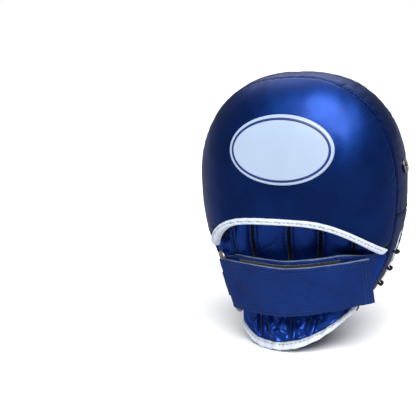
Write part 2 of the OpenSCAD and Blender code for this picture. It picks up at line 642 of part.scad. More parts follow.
module strap_inner() {
    ks = [0.9, 0.8, 0.68, 0.54, 0.38, 0.22, 0.06, -0.1, -0.26, -0.42, -0.58, inner_last_k];
    function low(w, lift) = mix(strap_point(inner_last_k, w, -lift, inner_shift), root_point(w), root_share)
        + strap_out(inner_last_k) * root_swell;
    function shift_at(k) = inner_shift * (1 - near_ring(k));
    function layer(extra) = concat(
        [[for (w = strap_ws) strap_start(w, -wrap_r - extra, inner_run)]],
        [for (k = ks) [for (w = strap_ws) strap_point(k, w, -layer_lift(k) - extra, shift_at(k))]],
        [[for (w = strap_ws) low(w, layer_lift(inner_last_k) + extra)]],
        [[for (w = strap_ws) root_point(w) + root_normal * (strap_t - extra)]]);
    color("#1a3580") from_hand() between(layer(strap_t), layer(0));
}

module strap_loop_patch() {
    ks = [0.72, 0.56, 0.4, 0.24, 0.08, -0.08, -0.24, -0.4, -0.56, -0.7];
    function layer(lift) = [for (k = ks) [for (w = strap_ws) strap_point(k, 0.88 * w, -lift, inner_shift)]];
    color("#0c0c0e") from_hand() between(layer(gap / 2 + patch_t), layer(gap / 2));
}

module at_bar() {
    translate(bar_pos) rotate([0, ring_tilt, 0]) children();
}

// The half turn of the strap round the ring's bar
module strap_bight() {
    color("#1a3580") from_hand() at_bar() rotate([0, 0, -strap_lead]) translate([0, 0, -strap_w / 2]) difference() {
        cylinder(r = wrap_r + strap_t, h = strap_w, $fn = 48);
        translate([0, 0, -1]) cylinder(r = wrap_r, h = strap_w + 2, $fn = 48);
        translate([-20, -20, -1]) cube([20, 40, strap_w + 2]);
    }
}

// ---- ring: a wire loop with two long bars, and the tab that holds it ----
ring_bend = 4;              // radius of the loop's corners, on the wire's centre line
ring_half = strap_w / 2 + 0.8 + ring_bend;
ring_lean = 50;             // direction from the strap's bar to the tab's bar
tab_bar = [ring_pitch * cos(ring_lean), -ring_pitch * sin(ring_lean)];

// One quarter of the loop, in the plane of the ring: a corner, half a long bar and half an end
module ring_quarter() {
    bar_len = ring_half - ring_bend;
    end_len = ring_pitch / 2 - ring_bend;
    cylinder(d = ring_wire_d, h = bar_len, $fn = 32);
    translate([ring_bend, 0, bar_len]) rotate([90, 0, 180]) rotate_extrude(angle = 90, $fn = 32)
        translate([ring_bend, 0]) circle(d = ring_wire_d, $fn = 32);
    translate([ring_bend, 0, ring_half]) rotate([0, 90, 0]) cylinder(d = ring_wire_d, h = end_len, $fn = 32);
}

module strap_ring() {
    color("#c4c4c6") from_hand() at_bar() rotate([0, 0, -ring_lean]) union() {
        for (top = [0, 1]) mirror([0, 0, top]) {
            ring_quarter();
            translate([ring_pitch, 0, 0]) mirror([1, 0, 0]) ring_quarter();
        }
    }
}

tab_lift = -2;              // how much lower along the bar the tab sits than the strap's middle
tab_tail_t = 2 * tab_t + 0.4;   // the tab's two ends, sewn together

module ring_tab() {
    color("#193683") from_hand() at_bar() translate([tab_bar[0], tab_bar[1], tab_lift - tab_w / 2])
        linear_extrude(tab_w) difference() {
            union() {
                circle(r = wrap_r + tab_t, $fn = 48);
                rotate(-115) translate([0, -tab_tail_t / 2]) square([bar_pos.y + tab_bar[1] - band_d - 1, tab_tail_t]);
            }
            circle(r = wrap_r, $fn = 48);
        }
}

front_cover();
gusset_upper();
gusset_lower();
lace_tongue();
side_lace();
impact_foam();
strike_foam();
core_foam();
back_foam();
back_panel();
palm_pad();
wrist_lip();
palm_rib_1();
palm_rib_2();
palm_rib_3();
palm_rib_4();
side_panel_left();
side_panel_right();
hood_cover();
hood_foam();
hood_lining();
hood_binding();
wrist_binding();
vent_eyelet_left();
vent_eyelet_right();
vent_washer_left();
vent_washer_right();
front_label();
front_label_line();
back_label();
back_label_line();
strap_inner();
strap_loop_patch();
strap_flap();
strap_hook_patch();
strap_bight();
strap_ring();
ring_tab();
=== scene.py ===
"""A curved focus mitt: a domed leather striking pad with a laced side band, a padded hood
over the fingers, four finger ribs in the palm and a strap that runs through a ring.

The shapes repeat part.scad's surfaces in millimetres, from the body's bottom edge and the
striking face's seam, and place() moves them to the origin in the palm, in metres."""

import bmesh
import bpy
import numpy as np
from mathutils import Matrix, Vector


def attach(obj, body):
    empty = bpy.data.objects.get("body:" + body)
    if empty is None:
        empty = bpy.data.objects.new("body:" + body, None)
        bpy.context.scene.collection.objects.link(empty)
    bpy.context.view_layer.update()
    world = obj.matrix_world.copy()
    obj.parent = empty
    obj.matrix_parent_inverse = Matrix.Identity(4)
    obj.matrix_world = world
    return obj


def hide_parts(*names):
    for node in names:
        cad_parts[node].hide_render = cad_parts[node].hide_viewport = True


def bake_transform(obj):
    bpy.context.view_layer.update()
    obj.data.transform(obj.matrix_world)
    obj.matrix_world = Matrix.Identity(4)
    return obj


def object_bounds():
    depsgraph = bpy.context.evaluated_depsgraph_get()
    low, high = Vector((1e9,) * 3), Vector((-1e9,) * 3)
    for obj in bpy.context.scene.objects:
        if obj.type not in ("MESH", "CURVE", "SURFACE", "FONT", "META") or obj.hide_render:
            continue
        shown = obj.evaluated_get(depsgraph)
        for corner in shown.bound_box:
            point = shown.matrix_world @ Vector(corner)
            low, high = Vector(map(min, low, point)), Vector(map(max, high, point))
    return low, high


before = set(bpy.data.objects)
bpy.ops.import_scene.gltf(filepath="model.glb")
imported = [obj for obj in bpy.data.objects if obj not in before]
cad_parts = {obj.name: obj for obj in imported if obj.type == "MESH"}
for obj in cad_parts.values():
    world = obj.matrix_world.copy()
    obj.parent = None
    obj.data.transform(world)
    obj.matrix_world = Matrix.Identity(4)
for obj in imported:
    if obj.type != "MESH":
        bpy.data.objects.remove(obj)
cad_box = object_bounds()

# ---------------------------------------- camera
VIEW_AZIMUTH, VIEW_ELEVATION, VIEW_ROLL = 198.5, 11.0, 1.6
VIEW_TARGET = Vector((0.0, -0.0449, 0.0413))
VIEW_DISTANCE = 0.866
LENS, SENSOR, SHIFT_X, SHIFT_Y = 76.8, 36, -0.2325, -0.051


def direction(azimuth, elevation):
    """The way from the object out to an azimuth and elevation in degrees."""
    az, el = np.radians(azimuth), np.radians(elevation)
    return Vector((np.sin(az) * np.cos(el), -np.cos(az) * np.cos(el), np.sin(el)))


def add(name, data):
    obj = bpy.data.objects.new(name, data)
    bpy.context.scene.collection.objects.link(obj)
    return obj


def make_camera():
    way = direction(VIEW_AZIMUTH, VIEW_ELEVATION)
    camera = add("camera", bpy.data.cameras.new("camera"))
    turn = way.to_track_quat("Z", "Y").to_matrix().to_4x4()
    roll = Matrix.Rotation(np.radians(-VIEW_ROLL), 4, "Z")
    camera.matrix_world = Matrix.Translation(VIEW_TARGET + way * VIEW_DISTANCE) @ turn @ roll
    camera.data.lens = LENS
    camera.data.sensor_width = SENSOR
    camera.data.shift_x, camera.data.shift_y = SHIFT_X, SHIFT_Y
    camera.data.clip_start, camera.data.clip_end = 0.02, 50
    bpy.context.scene.camera = camera


make_camera()

# ---------------------------------------- sizes, in millimetres
HAND = np.array([0.0, 68.0, 90.0])
GAP = 0.3
HALF_W, BODY_H, WAIST = 97.5, 240.0, 135.0
UPPER_H = BODY_H - WAIST
UPPER_P, LOWER_P = 2.33, 2.07
BAND_D, BAND_SWELL, FACE_DOME, HOOD_DOME = 48.0, 3.3, 36.0, 45.0
MID_Y = BAND_D / 2
LEATHER = 1.5
BAND_WALLS, FACE_EDGE_WALL, HOOD_WALL = (2.0, 1.6), 3.0, 2.3
PUCKER = 4.2
FOAM_Y, FOAM_INSET, BACKING_Y, BACKING_INSET = (1.0, 44.6), 9.5, (45.1, 47.7), 2.0
CROSS_SEAM_Z = 112.0
ARCH_TOP, ARCH_END, ARCH_P = 115.0, (81.0, 80.0), (2.9, 4.2)
HOOD_REACH = 0.975
BINDING_W = 6.5
LINING_EDGE, LINING_FULL, LINING_T = 5.8, 15.1, 1.0
RIB_UPPER_X, RIB_LOWER_X = [66, 44, 7, -25, -58], [49, 34, 2, -17, -46]
RIB_UPPER_Z, RIB_LOWER_Z, RIB_TOP_Z = 85.0, 5.0, 165.0
RIB_GAP, RIB_T, RIB_EDGE_T, RIB_SEW = 4.0, 7.0, 2.0, 1.7
PANEL_LOW_INSET, PANEL_HIGH_INSET, PANEL_TURN = 5.0, 17.1, 18.0
PANEL_TOP, PANEL_EDGE_T, PANEL_CROWN = 150.0, 1.2, 4.5
PALM_T = 4.0
PALM_Y = BAND_D + PALM_T + 2 * GAP
LIP_HALF_W, LIP_DROP, LIP_FLARE, LIP_T, LIP_TOP = 58.0, 18.0, 28.0, 8.0, 34.0
LIP_LOW_X, LIP_RISE, LIP_P = 30.0, (38.0, 12.0), 2.4
PALM_LOW = LIP_TOP + 1.5
STRAP_W, STRAP_T, PATCH_T = 50.0, 3.2, 1.0
CROWN_Y = 88.0
STRAP_Z = [42.0, 45.0, 53.0]
RING_TILT, STRAP_LEAD, RING_LEAN = np.radians([16.0, 34.0, 50.0])
WIRE_D, RING_PITCH, RING_BEND = 4.0, 11.0, 4.0
WRAP_R = WIRE_D / 2 + GAP
SEAT = PATCH_T + 0.5
TAB_W, TAB_T, TAB_LIFT = 24.0, 1.8, -2.0
LACE_D, LACE_SPAN, LACE_PITCH, LACE_SLANT = 3.0, 17.0, 18.0, 3.0
LACE_PULL, LACE_SQUEEZE = 0.94, 0.86
SLIT_W, SLIT_TOP = 12.0, 88.0
TONGUE_W, TONGUE_T, TONGUE_D = 14.6, 1.2, 2.0
VENT_Z, VENT_BORE, VENT_FLANGE, VENT_WALL, VENT_SEAT = 155.0, 7.0, 14.5, 0.6, 0.6
LABEL_A, LABEL_B, LABEL_T = 50.0, 31.5, 1.2
LINE_INSET, LINE_HALF_W = 3.7, 1.1
FRONT_LABEL_Z, BACK_LABEL_Z = 120.0, 0.74 * BODY_H
TAU = 2 * np.pi


# ---------------------------------------- small helpers
def place(points):
    """Design millimetres to the frame's metres."""
    return (np.asarray(points, float) - HAND) / 1000


def mix(a, b, k):
    return a + (b - a) * k


def ease(v):
    k = np.clip(v, 0, 1)
    return k * k * (3 - 2 * k)


def hump(v, width):
    """1 where v is 0, falling to 0 on both sides."""
    return np.exp(-(v / width) ** 2)


def spow(v, p):
    return np.sign(v) * np.abs(v) ** p


def unit(v):
    return v / np.maximum(np.linalg.norm(v, axis=-1, keepdims=True), 1e-12)


def stack(x, y, z):
    return np.stack(np.broadcast_arrays(x, y, z), -1).astype(float)


def waves(p, length, seed, stretch=(1, 1, 1)):
    """A smooth random field of about unit size, with features of this length."""
    count = 16
    r = np.random.default_rng(seed)
    k = unit(r.normal(size=(count, 3))) * (TAU / length) * r.uniform(0.6, 1.5, (count, 1))
    flat = p.reshape(-1, 3) * np.array(stretch)
    value = np.sin(flat @ k.T + r.uniform(0, TAU, count)).sum(1) / np.sqrt(count / 2)
    return value.reshape(p.shape[:-1])


def creases(p, length, seed, width=0.35, stretch=(1, 1, 1)):
    """Narrow folds: 1 on the lines where a random field crosses zero, 0 away from them."""
    return hump(waves(p, length, seed, stretch=stretch), width)


def ripple(s, length, seed):
    """An uneven wave along a distance s, for the puckers that a seam draws."""
    r = np.random.default_rng(seed)
    total = 0
    for _ in range(7):
        total = total + np.sin(s * TAU / (length * r.uniform(0.6, 1.7)) + r.uniform(0, TAU))
    return total / 2.2


# ---------------------------------------- the body's surfaces
def outline(t, d):
    s = np.sin(t)
    n = np.where(s < 0, LOWER_P, UPPER_P)
    h = np.where(s < 0, WAIST, UPPER_H)
    return (HALF_W - d) * spow(np.cos(t), 2 / n), WAIST + (h - d) * spow(s, 2 / n)


def edge_x(z, d):
    z = np.asarray(z, float)
    h = np.where(z < WAIST, WAIST, UPPER_H) - d
    p = np.where(z < WAIST, LOWER_P, UPPER_P)
    return (HALF_W - d) * (np.maximum(0, 1 - np.minimum(1, np.abs(z - WAIST) / h) ** p)) ** (1 / p)


def edge_t(z):
    return -np.arcsin(((WAIST - z) / WAIST) ** (LOWER_P / 2))


def radial(x, z, d):
    h = np.where(z < WAIST, WAIST, UPPER_H) - d
    p = np.where(z < WAIST, LOWER_P, UPPER_P)
    return ((np.abs(x) / (HALF_W - d)) ** p + (np.abs(z - WAIST) / h) ** p) ** (1 / p)


def face_y(r):
    return -FACE_DOME * np.maximum(0, 1 - r ** 1.55) ** (1 / 1.71)


def hood_y(x, z, d=0):
    r = np.minimum(1, radial(x, z, d))
    return BAND_D + GAP + (HOOD_DOME - d) * np.maximum(0, 1 - r ** 3.77) ** (1 / 1.157)


def band_point(t, y, d):
    x, z = outline(t, d - BAND_SWELL * np.sin(np.pi * np.clip(y / BAND_D, 0, 1)))
    return stack(x, y, z)


def outward(t):
    x0, z0 = outline(t, 0)
    x1, z1 = outline(t, -1)
    return unit(stack(x1 - x0, 0 * x0, z1 - z0))


def grid_normals(p, wrap=False):
    """Unit normals of a grid of points; wrap joins the last column to the first."""
    a = np.gradient(p, axis=0)
    if wrap:
        b = (np.roll(p, -1, 1) - np.roll(p, 1, 1)) / 2
    else:
        b = np.gradient(p, axis=1)
    return unit(np.cross(a, b))


def toward(normals, p, centre):
    """The same normals, turned to point away from a centre."""
    side = np.sign(np.sum(normals * (p - centre), -1, keepdims=True))
    side[side == 0] = 1
    return normals * side


def run(p, axis, reverse=False):
    """Distance along one axis of a grid, from its start or from its end."""
    steps = np.linalg.norm(np.diff(p, axis=axis), axis=-1)
    total = np.insert(np.cumsum(steps, axis), 0, 0, axis)
    return np.take(total, [-1], axis) - total if reverse else total


def from_ends(along):
    """Distance to the nearer end of each row, from the distance along it."""
    return np.minimum(along, along[:, -1:] - along)


def lengths(points):
    """Distance along a line of points, from its first point."""
    return np.concatenate([[0], np.cumsum(np.linalg.norm(np.diff(points, axis=0), axis=1))])


def material(name, base, second, rough, metallic=0.0, coat=0.0, sheen=0.0, grain=(900, 0.2),
             crinkle=(160, 0.2), blotch=25, weave=None, gloss=0.5):
    """A finish made of nodes: colour that drifts between two
    tones, uneven roughness, a fine grain, a softer crinkle and, for cloth, a weave."""
    m = bpy.data.materials.new(name)
    m.use_nodes = True
    nodes, links = m.node_tree.nodes, m.node_tree.links
    shader = nodes["Principled BSDF"]
    for key, value in (("Metallic", metallic), ("Specular IOR Level", gloss),
                       ("Coat Weight", coat), ("Coat Roughness", 0.25),
                       ("Sheen Weight", sheen), ("Sheen Roughness", 0.5)):
        shader.inputs[key].default_value = value
    where = nodes.new("ShaderNodeTexCoord")

    def texture(kind, **inputs):
        n = nodes.new("ShaderNodeTex" + kind)
        for key, value in inputs.items():
            n.inputs[key].default_value = value
        links.new(where.outputs["Object"], n.inputs["Vector"])
        return n

    drift = texture("Noise", Scale=blotch, Detail=3.0)
    ramp = nodes.new("ShaderNodeValToRGB")
    ramp.color_ramp.elements[0].position = 0.38
    ramp.color_ramp.elements[1].position = 0.62
    ramp.color_ramp.elements[0].color = (*base, 1)
    ramp.color_ramp.elements[1].color = (*second, 1)
    links.new(drift.outputs["Fac"], ramp.inputs["Fac"])
    links.new(ramp.outputs["Color"], shader.inputs["Base Color"])
    uneven = nodes.new("ShaderNodeMapRange")
    uneven.inputs["To Min"].default_value = rough * 0.85
    uneven.inputs["To Max"].default_value = min(1, rough * 1.15)
    links.new(texture("Noise", Scale=90, Detail=5).outputs["Fac"], uneven.inputs["Value"])
    links.new(uneven.outputs["Result"], shader.inputs["Roughness"])
    last = None

    def bump(height, strength, distance):
        nonlocal last
        b = nodes.new("ShaderNodeBump")
        b.inputs["Strength"].default_value = strength
        b.inputs["Distance"].default_value = distance
        links.new(height, b.inputs["Height"])
        if last is not None:
            links.new(last.outputs["Normal"], b.inputs["Normal"])
        last = b

    bump(texture("Noise", Scale=crinkle[0], Detail=4).outputs["Fac"], crinkle[1], 0.002)
    bump(texture("Voronoi", Scale=grain[0]).outputs["Distance"], grain[1], 0.0006)
    if weave:
        for axis in ("X", "Z"):
            threads = texture("Wave", Scale=weave, Distortion=0.6)
            threads.bands_direction = axis
            bump(threads.outputs["Fac"], 0.35, 0.0004)
    links.new(last.outputs["Normal"], shader.inputs["Normal"])
    return m


BLUE = material(
    "pearl_blue_leather", (0.0030, 0.026, 0.160), (0.0050, 0.037, 0.215), 0.41,
    metallic=0.95, coat=0.14, grain=(1000, 0.20), crinkle=(60, 0.08))
# Painted shade: a darker copy of the pearl leather for the side band, its base colour set lower so the
# band reads darker than the faces.
BAND_BLUE_PAINTED_DARKER = material(
    "pearl_blue_band_painted_darker", (0.0030, 0.022, 0.130), (0.0045, 0.029, 0.165), 0.41,
    metallic=0.93, coat=0.05, grain=(1000, 0.20), crinkle=(130, 0.16))
# Painted light: a lighter copy of the pearl leather for the finger ribs, side panels and wrist lip, its
# base colour about twice the face's so the palm side reads brighter.
RIB_BLUE_PAINTED_LIGHTER = material(
    "pearl_blue_ribs_painted_lighter", (0.0060, 0.052, 0.340), (0.0085, 0.066, 0.420), 0.33,
    metallic=0.80, coat=0.12, grain=(1000, 0.18), crinkle=(110, 0.18))
STRAP_BLUE = material(
    "strap_leather", (0.0016, 0.020, 0.135), (0.0024, 0.026, 0.160), 0.62,
    metallic=0.25, gloss=0.18, grain=(1300, 0.25), crinkle=(240, 0.12))
RAW_EDGE = material(
    "raw_leather_edge", (0.085, 0.12, 0.20), (0.13, 0.17, 0.25), 0.85,
    grain=(1800, 0.5), crinkle=(400, 0.3), blotch=300)
WHITE = material(
    "white_leather", (0.55, 0.60, 0.68), (0.61, 0.66, 0.73), 0.48,
    coat=0.1, grain=(1100, 0.18), crinkle=(220, 0.22))
LABEL_WHITE = material(
    "label_white", (0.34, 0.425, 0.565), (0.37, 0.455, 0.595), 0.42,
    coat=0.25, grain=(1600, 0.05), crinkle=(60, 0.03), blotch=12)
LABEL_BLUE = material(
    "label_blue", (0.004, 0.018, 0.13), (0.005, 0.022, 0.15), 0.4,
    coat=0.2, grain=(1600, 0.05), crinkle=(200, 0.03))
BLACK = material(
    "black_lining", (0.005, 0.005, 0.006), (0.009, 0.009, 0.011), 0.85,
    sheen=0.12, grain=(1500, 0.3), crinkle=(200, 0.3), weave=450)
FOAM = material(
    "soft_foam", (0.02, 0.02, 0.022), (0.03, 0.03, 0.033), 0.95,
    grain=(1400, 0.6), crinkle=(200, 0.2))
LACE = material(
    "black_lace", (0.003, 0.003, 0.004), (0.006, 0.006, 0.008), 0.6,
    gloss=0.25, grain=(2200, 0.5), crinkle=(500, 0.2))
HOOK = material(
    "hook_and_loop", (0.006, 0.006, 0.008), (0.016, 0.016, 0.02), 0.95,
    sheen=0.3, grain=(1900, 0.9), crinkle=(700, 0.8), blotch=600)
NICKEL = material(
    "nickel", (0.50, 0.48, 0.44), (0.60, 0.58, 0.54), 0.3,
    metallic=1.0, grain=(800, 0.02), crinkle=(300, 0.03))
THREAD = material(
    "navy_thread", (0.004, 0.014, 0.065), (0.007, 0.020, 0.085), 0.6,
    sheen=0.05, grain=(4000, 0.4), crinkle=(900, 0.2))
GREY_THREAD = material(
    "grey_thread", (0.24, 0.29, 0.40), (0.30, 0.35, 0.47), 0.6,
    sheen=0.2, grain=(4000, 0.4), crinkle=(900, 0.2))


# ---------------------------------------- meshes
def build(name, verts, faces, mats, body="root", slot=None, nodes=(), fill=None,
          sharp=40, indices=None):
    """One piece from design points: closed, smooth, on its body and with its finish."""
    mesh = bpy.data.meshes.new(name)
    mesh.from_pydata([tuple(v) for v in place(verts)], [], faces)
    two_tone = isinstance(mats, tuple)
    for m in mats if two_tone else [mats]:
        mesh.materials.append(m)
    if two_tone:
        mesh.polygons.foreach_set("material_index", np.asarray(indices, np.int32))
    mesh.validate()
    obj = add(name, mesh)
    work = bmesh.new()
    work.from_mesh(mesh)
    bmesh.ops.remove_doubles(work, verts=work.verts, dist=2e-6)
    bmesh.ops.recalc_face_normals(work, faces=work.faces)
    work.to_mesh(mesh)
    work.free()
    mesh.polygons.foreach_set("use_smooth", [True] * len(mesh.polygons))
    mesh.set_sharp_from_angle(angle=np.radians(sharp))
    if body:
        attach(obj, body)
    if nodes:
        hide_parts(*nodes)
    return obj


def shell(top, bottom, wrap=False, cap=False, keep=None):
    """Vertices and faces of the closed solid between two grids of the same size, without the
    cells that keep leaves out. The third result marks the faces of the rim."""
    rows, cols = top.shape[:2]
    n = rows * cols
    i, j = np.meshgrid(np.arange(rows - 1), np.arange(cols if wrap else cols - 1), indexing="ij")
    a, b = i * cols + j, i * cols + (j + 1) % cols
    sheet = np.stack([a, b, b + cols, a + cols], -1)
    sheet = sheet.reshape(-1, 4) if keep is None else sheet[keep]
    edges = np.concatenate([sheet[:, [k, (k + 1) % 4]] for k in range(4)])
    code = edges.min(1) * n + edges.max(1)
    _, first, count = np.unique(code, return_index=True, return_counts=True)
    border = edges[first[count == 1]]
    if cap:
        border = border[~(border < cols).all(1)]
    verts = [top.reshape(-1, 3), bottom.reshape(-1, 3)]
    rim = np.stack([border[:, 1], border[:, 0], border[:, 0] + n, border[:, 1] + n], -1)
    faces = [tuple(int(v) for v in f) for f in np.concatenate([sheet, sheet[:, ::-1] + n, rim])]
    marks = [0] * (2 * len(sheet)) + [1] * len(rim)
    if cap:
        verts += [top[0].mean(0)[None], bottom[0].mean(0)[None]]
        k = np.arange(cols)
        k1 = (k + 1) % cols
        fans = list(zip(k1, k, k * 0 + 2 * n)) + list(zip(k + n, k1 + n, k * 0 + 2 * n + 1))
        faces += [tuple(int(v) for v in f) for f in fans]
        marks += [0] * len(fans)
    return np.concatenate(verts), faces, np.array(marks)


def shell_loop(p):
    """A closed form from rings of points, with its two ends capped. Rows run round a ring."""
    rows, cols = p.shape[:2]
    i, j = np.meshgrid(np.arange(rows), np.arange(cols - 1), indexing="ij")
    a, b = i * cols + j, ((i + 1) % rows) * cols + j
    faces = [tuple(int(v) for v in f) for f in np.stack([a, a + 1, b + 1, b], -1).reshape(-1, 4)]
    faces.append(tuple(int(k) * cols for k in range(rows)))
    faces.append(tuple(int(k) * cols + cols - 1 for k in reversed(range(rows))))
    return p.reshape(-1, 3), faces


def tape_section(count):
    """Points round a folded tape's rounded section: how far across, and how far outward."""
    phi = (np.arange(count) / count * TAU)[:, None]
    return (1 - spow(np.cos(phi), 0.62)) / 2, (spow(np.sin(phi), 0.62) + 1) / 2


def solid(name, top, bottom, mats, wrap=False, cap=False, keep=None, **facts):
    """The closed piece between two grids; a second material goes on its rim."""
    verts, faces, rim = shell(top, bottom, wrap, cap, keep)
    return build(name, verts, faces, mats, indices=rim, **facts)


def ring_faces(rings, sides, start=0, closed=False):
    """The faces between rings of points; an open form gets a cap on each end."""
    faces = []
    for i in range(rings if closed else rings - 1):
        a, b = start + i * sides, start + (i + 1) % rings * sides
        faces += [(a + k, a + (k + 1) % sides, b + (k + 1) % sides, b + k) for k in range(sides)]
    if not closed:
        faces.append(tuple(start + k for k in reversed(range(sides))))
        faces.append(tuple(start + (rings - 1) * sides + k for k in range(sides)))
    return faces


def tube(path, radius, sides=12, closed=False, lobes=0, twist=0.0, lobe_depth=0.0):
    """A round tube along a path, with twisted lobes for a cord."""
    n = len(path)
    if closed:
        along = unit(np.roll(path, -1, 0) - np.roll(path, 1, 0))
    else:
        along = unit(np.gradient(path, axis=0))
    u = np.zeros_like(path)
    first = np.array([0.3, 0.8, 0.52])
    u[0] = unit(first - along[0] * (first @ along[0]))
    for i in range(1, n):
        u[i] = unit(u[i - 1] - along[i] * (u[i - 1] @ along[i]))
    v = np.cross(along, u)
    phi = np.arange(sides) / sides * TAU
    r = radius * (1 + lobe_depth * np.cos(lobes * phi[None] - twist * lengths(path)[:, None]))
    ring = path[:, None] + r[..., None] * (
        u[:, None] * np.cos(phi)[None, :, None] + v[:, None] * np.sin(phi)[None, :, None])
    return ring.reshape(-1, 3), ring_faces(n, sides, closed=closed)


def smooth_path(points, per=6):
    """A smooth path or grid through a list of points or of rows."""
    points = np.asarray(points)
    p = np.concatenate([[2 * points[0] - points[1]], points, [2 * points[-1] - points[-2]]])
    out = []
    for i in range(1, len(p) - 2):
        for k in np.arange(per) / per:
            out.append(0.5 * ((2 * p[i]) + (p[i + 1] - p[i - 1]) * k
                              + (2 * p[i - 1] - 5 * p[i] + 4 * p[i + 1] - p[i + 2]) * k * k
                              + (3 * p[i] - p[i - 1] - 3 * p[i + 1] + p[i + 2]) * k ** 3))
    out.append(points[-1])
    return np.array(out)


def resample(points, normals, step):
    """Places and normals at even distances along a line."""
    s = lengths(points)

    def sample(values, at):
        return np.stack([np.interp(at, s, values[:, k]) for k in range(3)], -1)

    at = np.arange(step / 2, s[-1], step)
    ahead = unit(sample(points, at + 0.1) - sample(points, at - 0.1))
    return sample(points, at), unit(sample(normals, at)), ahead


def stitches(name, lines, mat=THREAD, body="root", length=2.7, step=3.8, radius=0.38,
             slot=None):
    """Rows of sewn thread: one small rounded bead for each stitch, half sunk in the leather."""
    verts, faces = [], []
    rings, sides = 5, 6
    xs = np.linspace(-1, 1, rings)
    for points, normals in lines:
        p, n, a = resample(np.asarray(points, float), np.asarray(normals, float), step)
        side = np.cross(a, n)
        for centre, up, along, across in zip(p, n, a, side):
            start = len(verts)
            for x in xs:
                r = radius * np.sqrt(max(0.12, 1 - x ** 4))
                dip = -0.35 * x ** 4
                for k in range(sides):
                    phi = TAU * k / sides
                    verts.append(centre + along * (x * length / 2) + up * (r * np.sin(phi) + dip + 0.1)
                                 + across * (r * np.cos(phi)))
            faces += ring_faces(rings, sides, start)
    return build(name, np.array(verts), faces, mat, body, slot=slot, sharp=60)


# ---------------------------------------- striking face
def label_mask(p, z0):
    """0 under an oval label, 1 clear of it."""
    margin = 6
    q = np.hypot(p[..., 0] / (LABEL_A + margin), (p[..., 2] - z0) / (LABEL_B + margin))
    return ease((q - 0.93) / 0.16)


def make_face():
    t = -np.arange(420) / 420 * TAU
    w = np.linspace(0.03, 1, 84)
    r = (1 - (1 - w) ** 1.9)[:, None]
    x, z = outline(t[None], 0)
    p = stack(x * r, face_y(r) - GAP / 2 + 0 * x, WAIST + (z - WAIST) * r)
    n = toward(grid_normals(p, wrap=True), p, np.array([0, 40, WAIST]))
    s = run(p, 0, reverse=True)
    around = run(p, 1)[-1:]
    clear = label_mask(p, FRONT_LABEL_Z)
    lift = -1.5 * (1 + 0.22 * np.cos(around * TAU / PUCKER)) * hump(s, 2.0)
    lift += 0.3 * ripple(around, 7, 3) * np.exp(-s / 6) * (0.6 + 0.4 * waves(p, 60, 5))
    lift += 0.35 * ripple(around, 22, 8) * np.exp(-s / 22)
    lift += clear * (0.35 * waves(p, 80, 6) + 0.08 * waves(p, 26, 7))
    top = p + n * lift[..., None]
    x2, z2 = outline(t[None], FACE_EDGE_WALL)
    back = stack(x2 * r, GAP + 0 * x2, WAIST + (z2 - WAIST) * r)
    solid("striking_face", top, back, BLUE, wrap=True, cap=True,
          nodes=("front_cover", "impact_foam"), fill=0.95, sharp=60)


make_face()


# ---------------------------------------- side band
SEAM_T = edge_t(CROSS_SEAM_Z)
SEAM_STEP = np.radians(0.12)


SLIT_TS = np.linspace(np.pi - edge_t(SLIT_TOP), TAU + edge_t(SLIT_TOP), 400)
SLIT_S = lengths(band_point(SLIT_TS, MID_Y, 0))
SLIT_LEN = SLIT_S[-1]
LACE_TURNS = int((SLIT_LEN - LACE_D - LACE_SLANT) // LACE_PITCH)
LACE_START = (SLIT_LEN - (LACE_TURNS - 1) * LACE_PITCH - LACE_SLANT) / 2


def slit_t(s):
    slope = (SLIT_TS[-1] - SLIT_TS[0]) / SLIT_LEN
    s = np.asarray(s, float)
    past = s - np.clip(s, 0, SLIT_LEN)
    return np.interp(s, SLIT_S, SLIT_TS) + past * slope


def band_lift(p, y, along, seed):
    """Relief of the side band: pinched at both seams, puckered beside them, softly uneven."""
    front, back = y, BAND_D - y
    sewn = 1 + 0.22 * np.cos(along * TAU / PUCKER)
    lift = -1.3 * sewn * hump(front, 1.8) - 1.0 * sewn * hump(back, 1.8)
    for depth, length, reach, at, k in ((0.38, 8, 8, front, seed), (0.28, 9, 6, back, seed + 2)):
        lift += depth * ripple(along, length, k) * np.exp(-at / reach) * (0.6 + 0.5 * waves(p, 50, k + 1))
    lift += 0.2 * waves(p, 40, seed + 4, stretch=(1, 0.5, 1))
    lift += 0.10 * waves(p, 12, seed + 5, stretch=(1, 0.4, 1))
    return lift - 1.2 * hump(from_ends(along), 1.6)


def edge_rows(n, power=1.6):
    """Shares from 0 to 1, closer together at both ends."""
    k = np.linspace(-1, 1, n)
    return (1 - np.sign(-k) * (1 - (1 - np.abs(k)) ** power)) / 2


def vent_frame(side):
    t = np.array(np.arcsin(((VENT_Z - WAIST) / UPPER_H) ** (UPPER_P / 2)))
    n = outward(t) * [side, 0, 1]
    return np.array([side * (edge_x(VENT_Z, 0) + BAND_SWELL * abs(n[0])), MID_Y, VENT_Z]), n


def cells(value):
    """The mean of a grid's values on each of its cells."""
    return (value[1:, 1:] + value[:-1, 1:] + value[1:, :-1] + value[:-1, :-1]) / 4


def make_band_upper():
    t = np.linspace(np.pi - SEAM_T - SEAM_STEP, SEAM_T + SEAM_STEP, 460)
    y = mix(GAP / 2, BAND_D - GAP / 2, edge_rows(48))[:, None]
    p = band_point(t[None], y, 0)
    along = run(p, 1)
    lift = band_lift(p, y + 0 * along, along, 20)
    lift += 0.35 * ripple(y + 0 * along, 7, 31) * np.exp(-from_ends(along) / 8)
    vent = np.min([np.linalg.norm(p - vent_frame(k)[0], axis=-1) for k in (1, -1)], 0)
    lift = lift * ease((vent - 7) / 9) - 0.4 * hump(vent - 9.5, 2.0)
    n = outward(t)[None]
    top = p + n * lift[..., None]
    solid("side_band_upper", top, p - n * BAND_WALLS[0], BAND_BLUE_PAINTED_DARKER, keep=cells(vent) > 4.6,
          nodes=("gusset_upper",), fill=0.9, sharp=60)


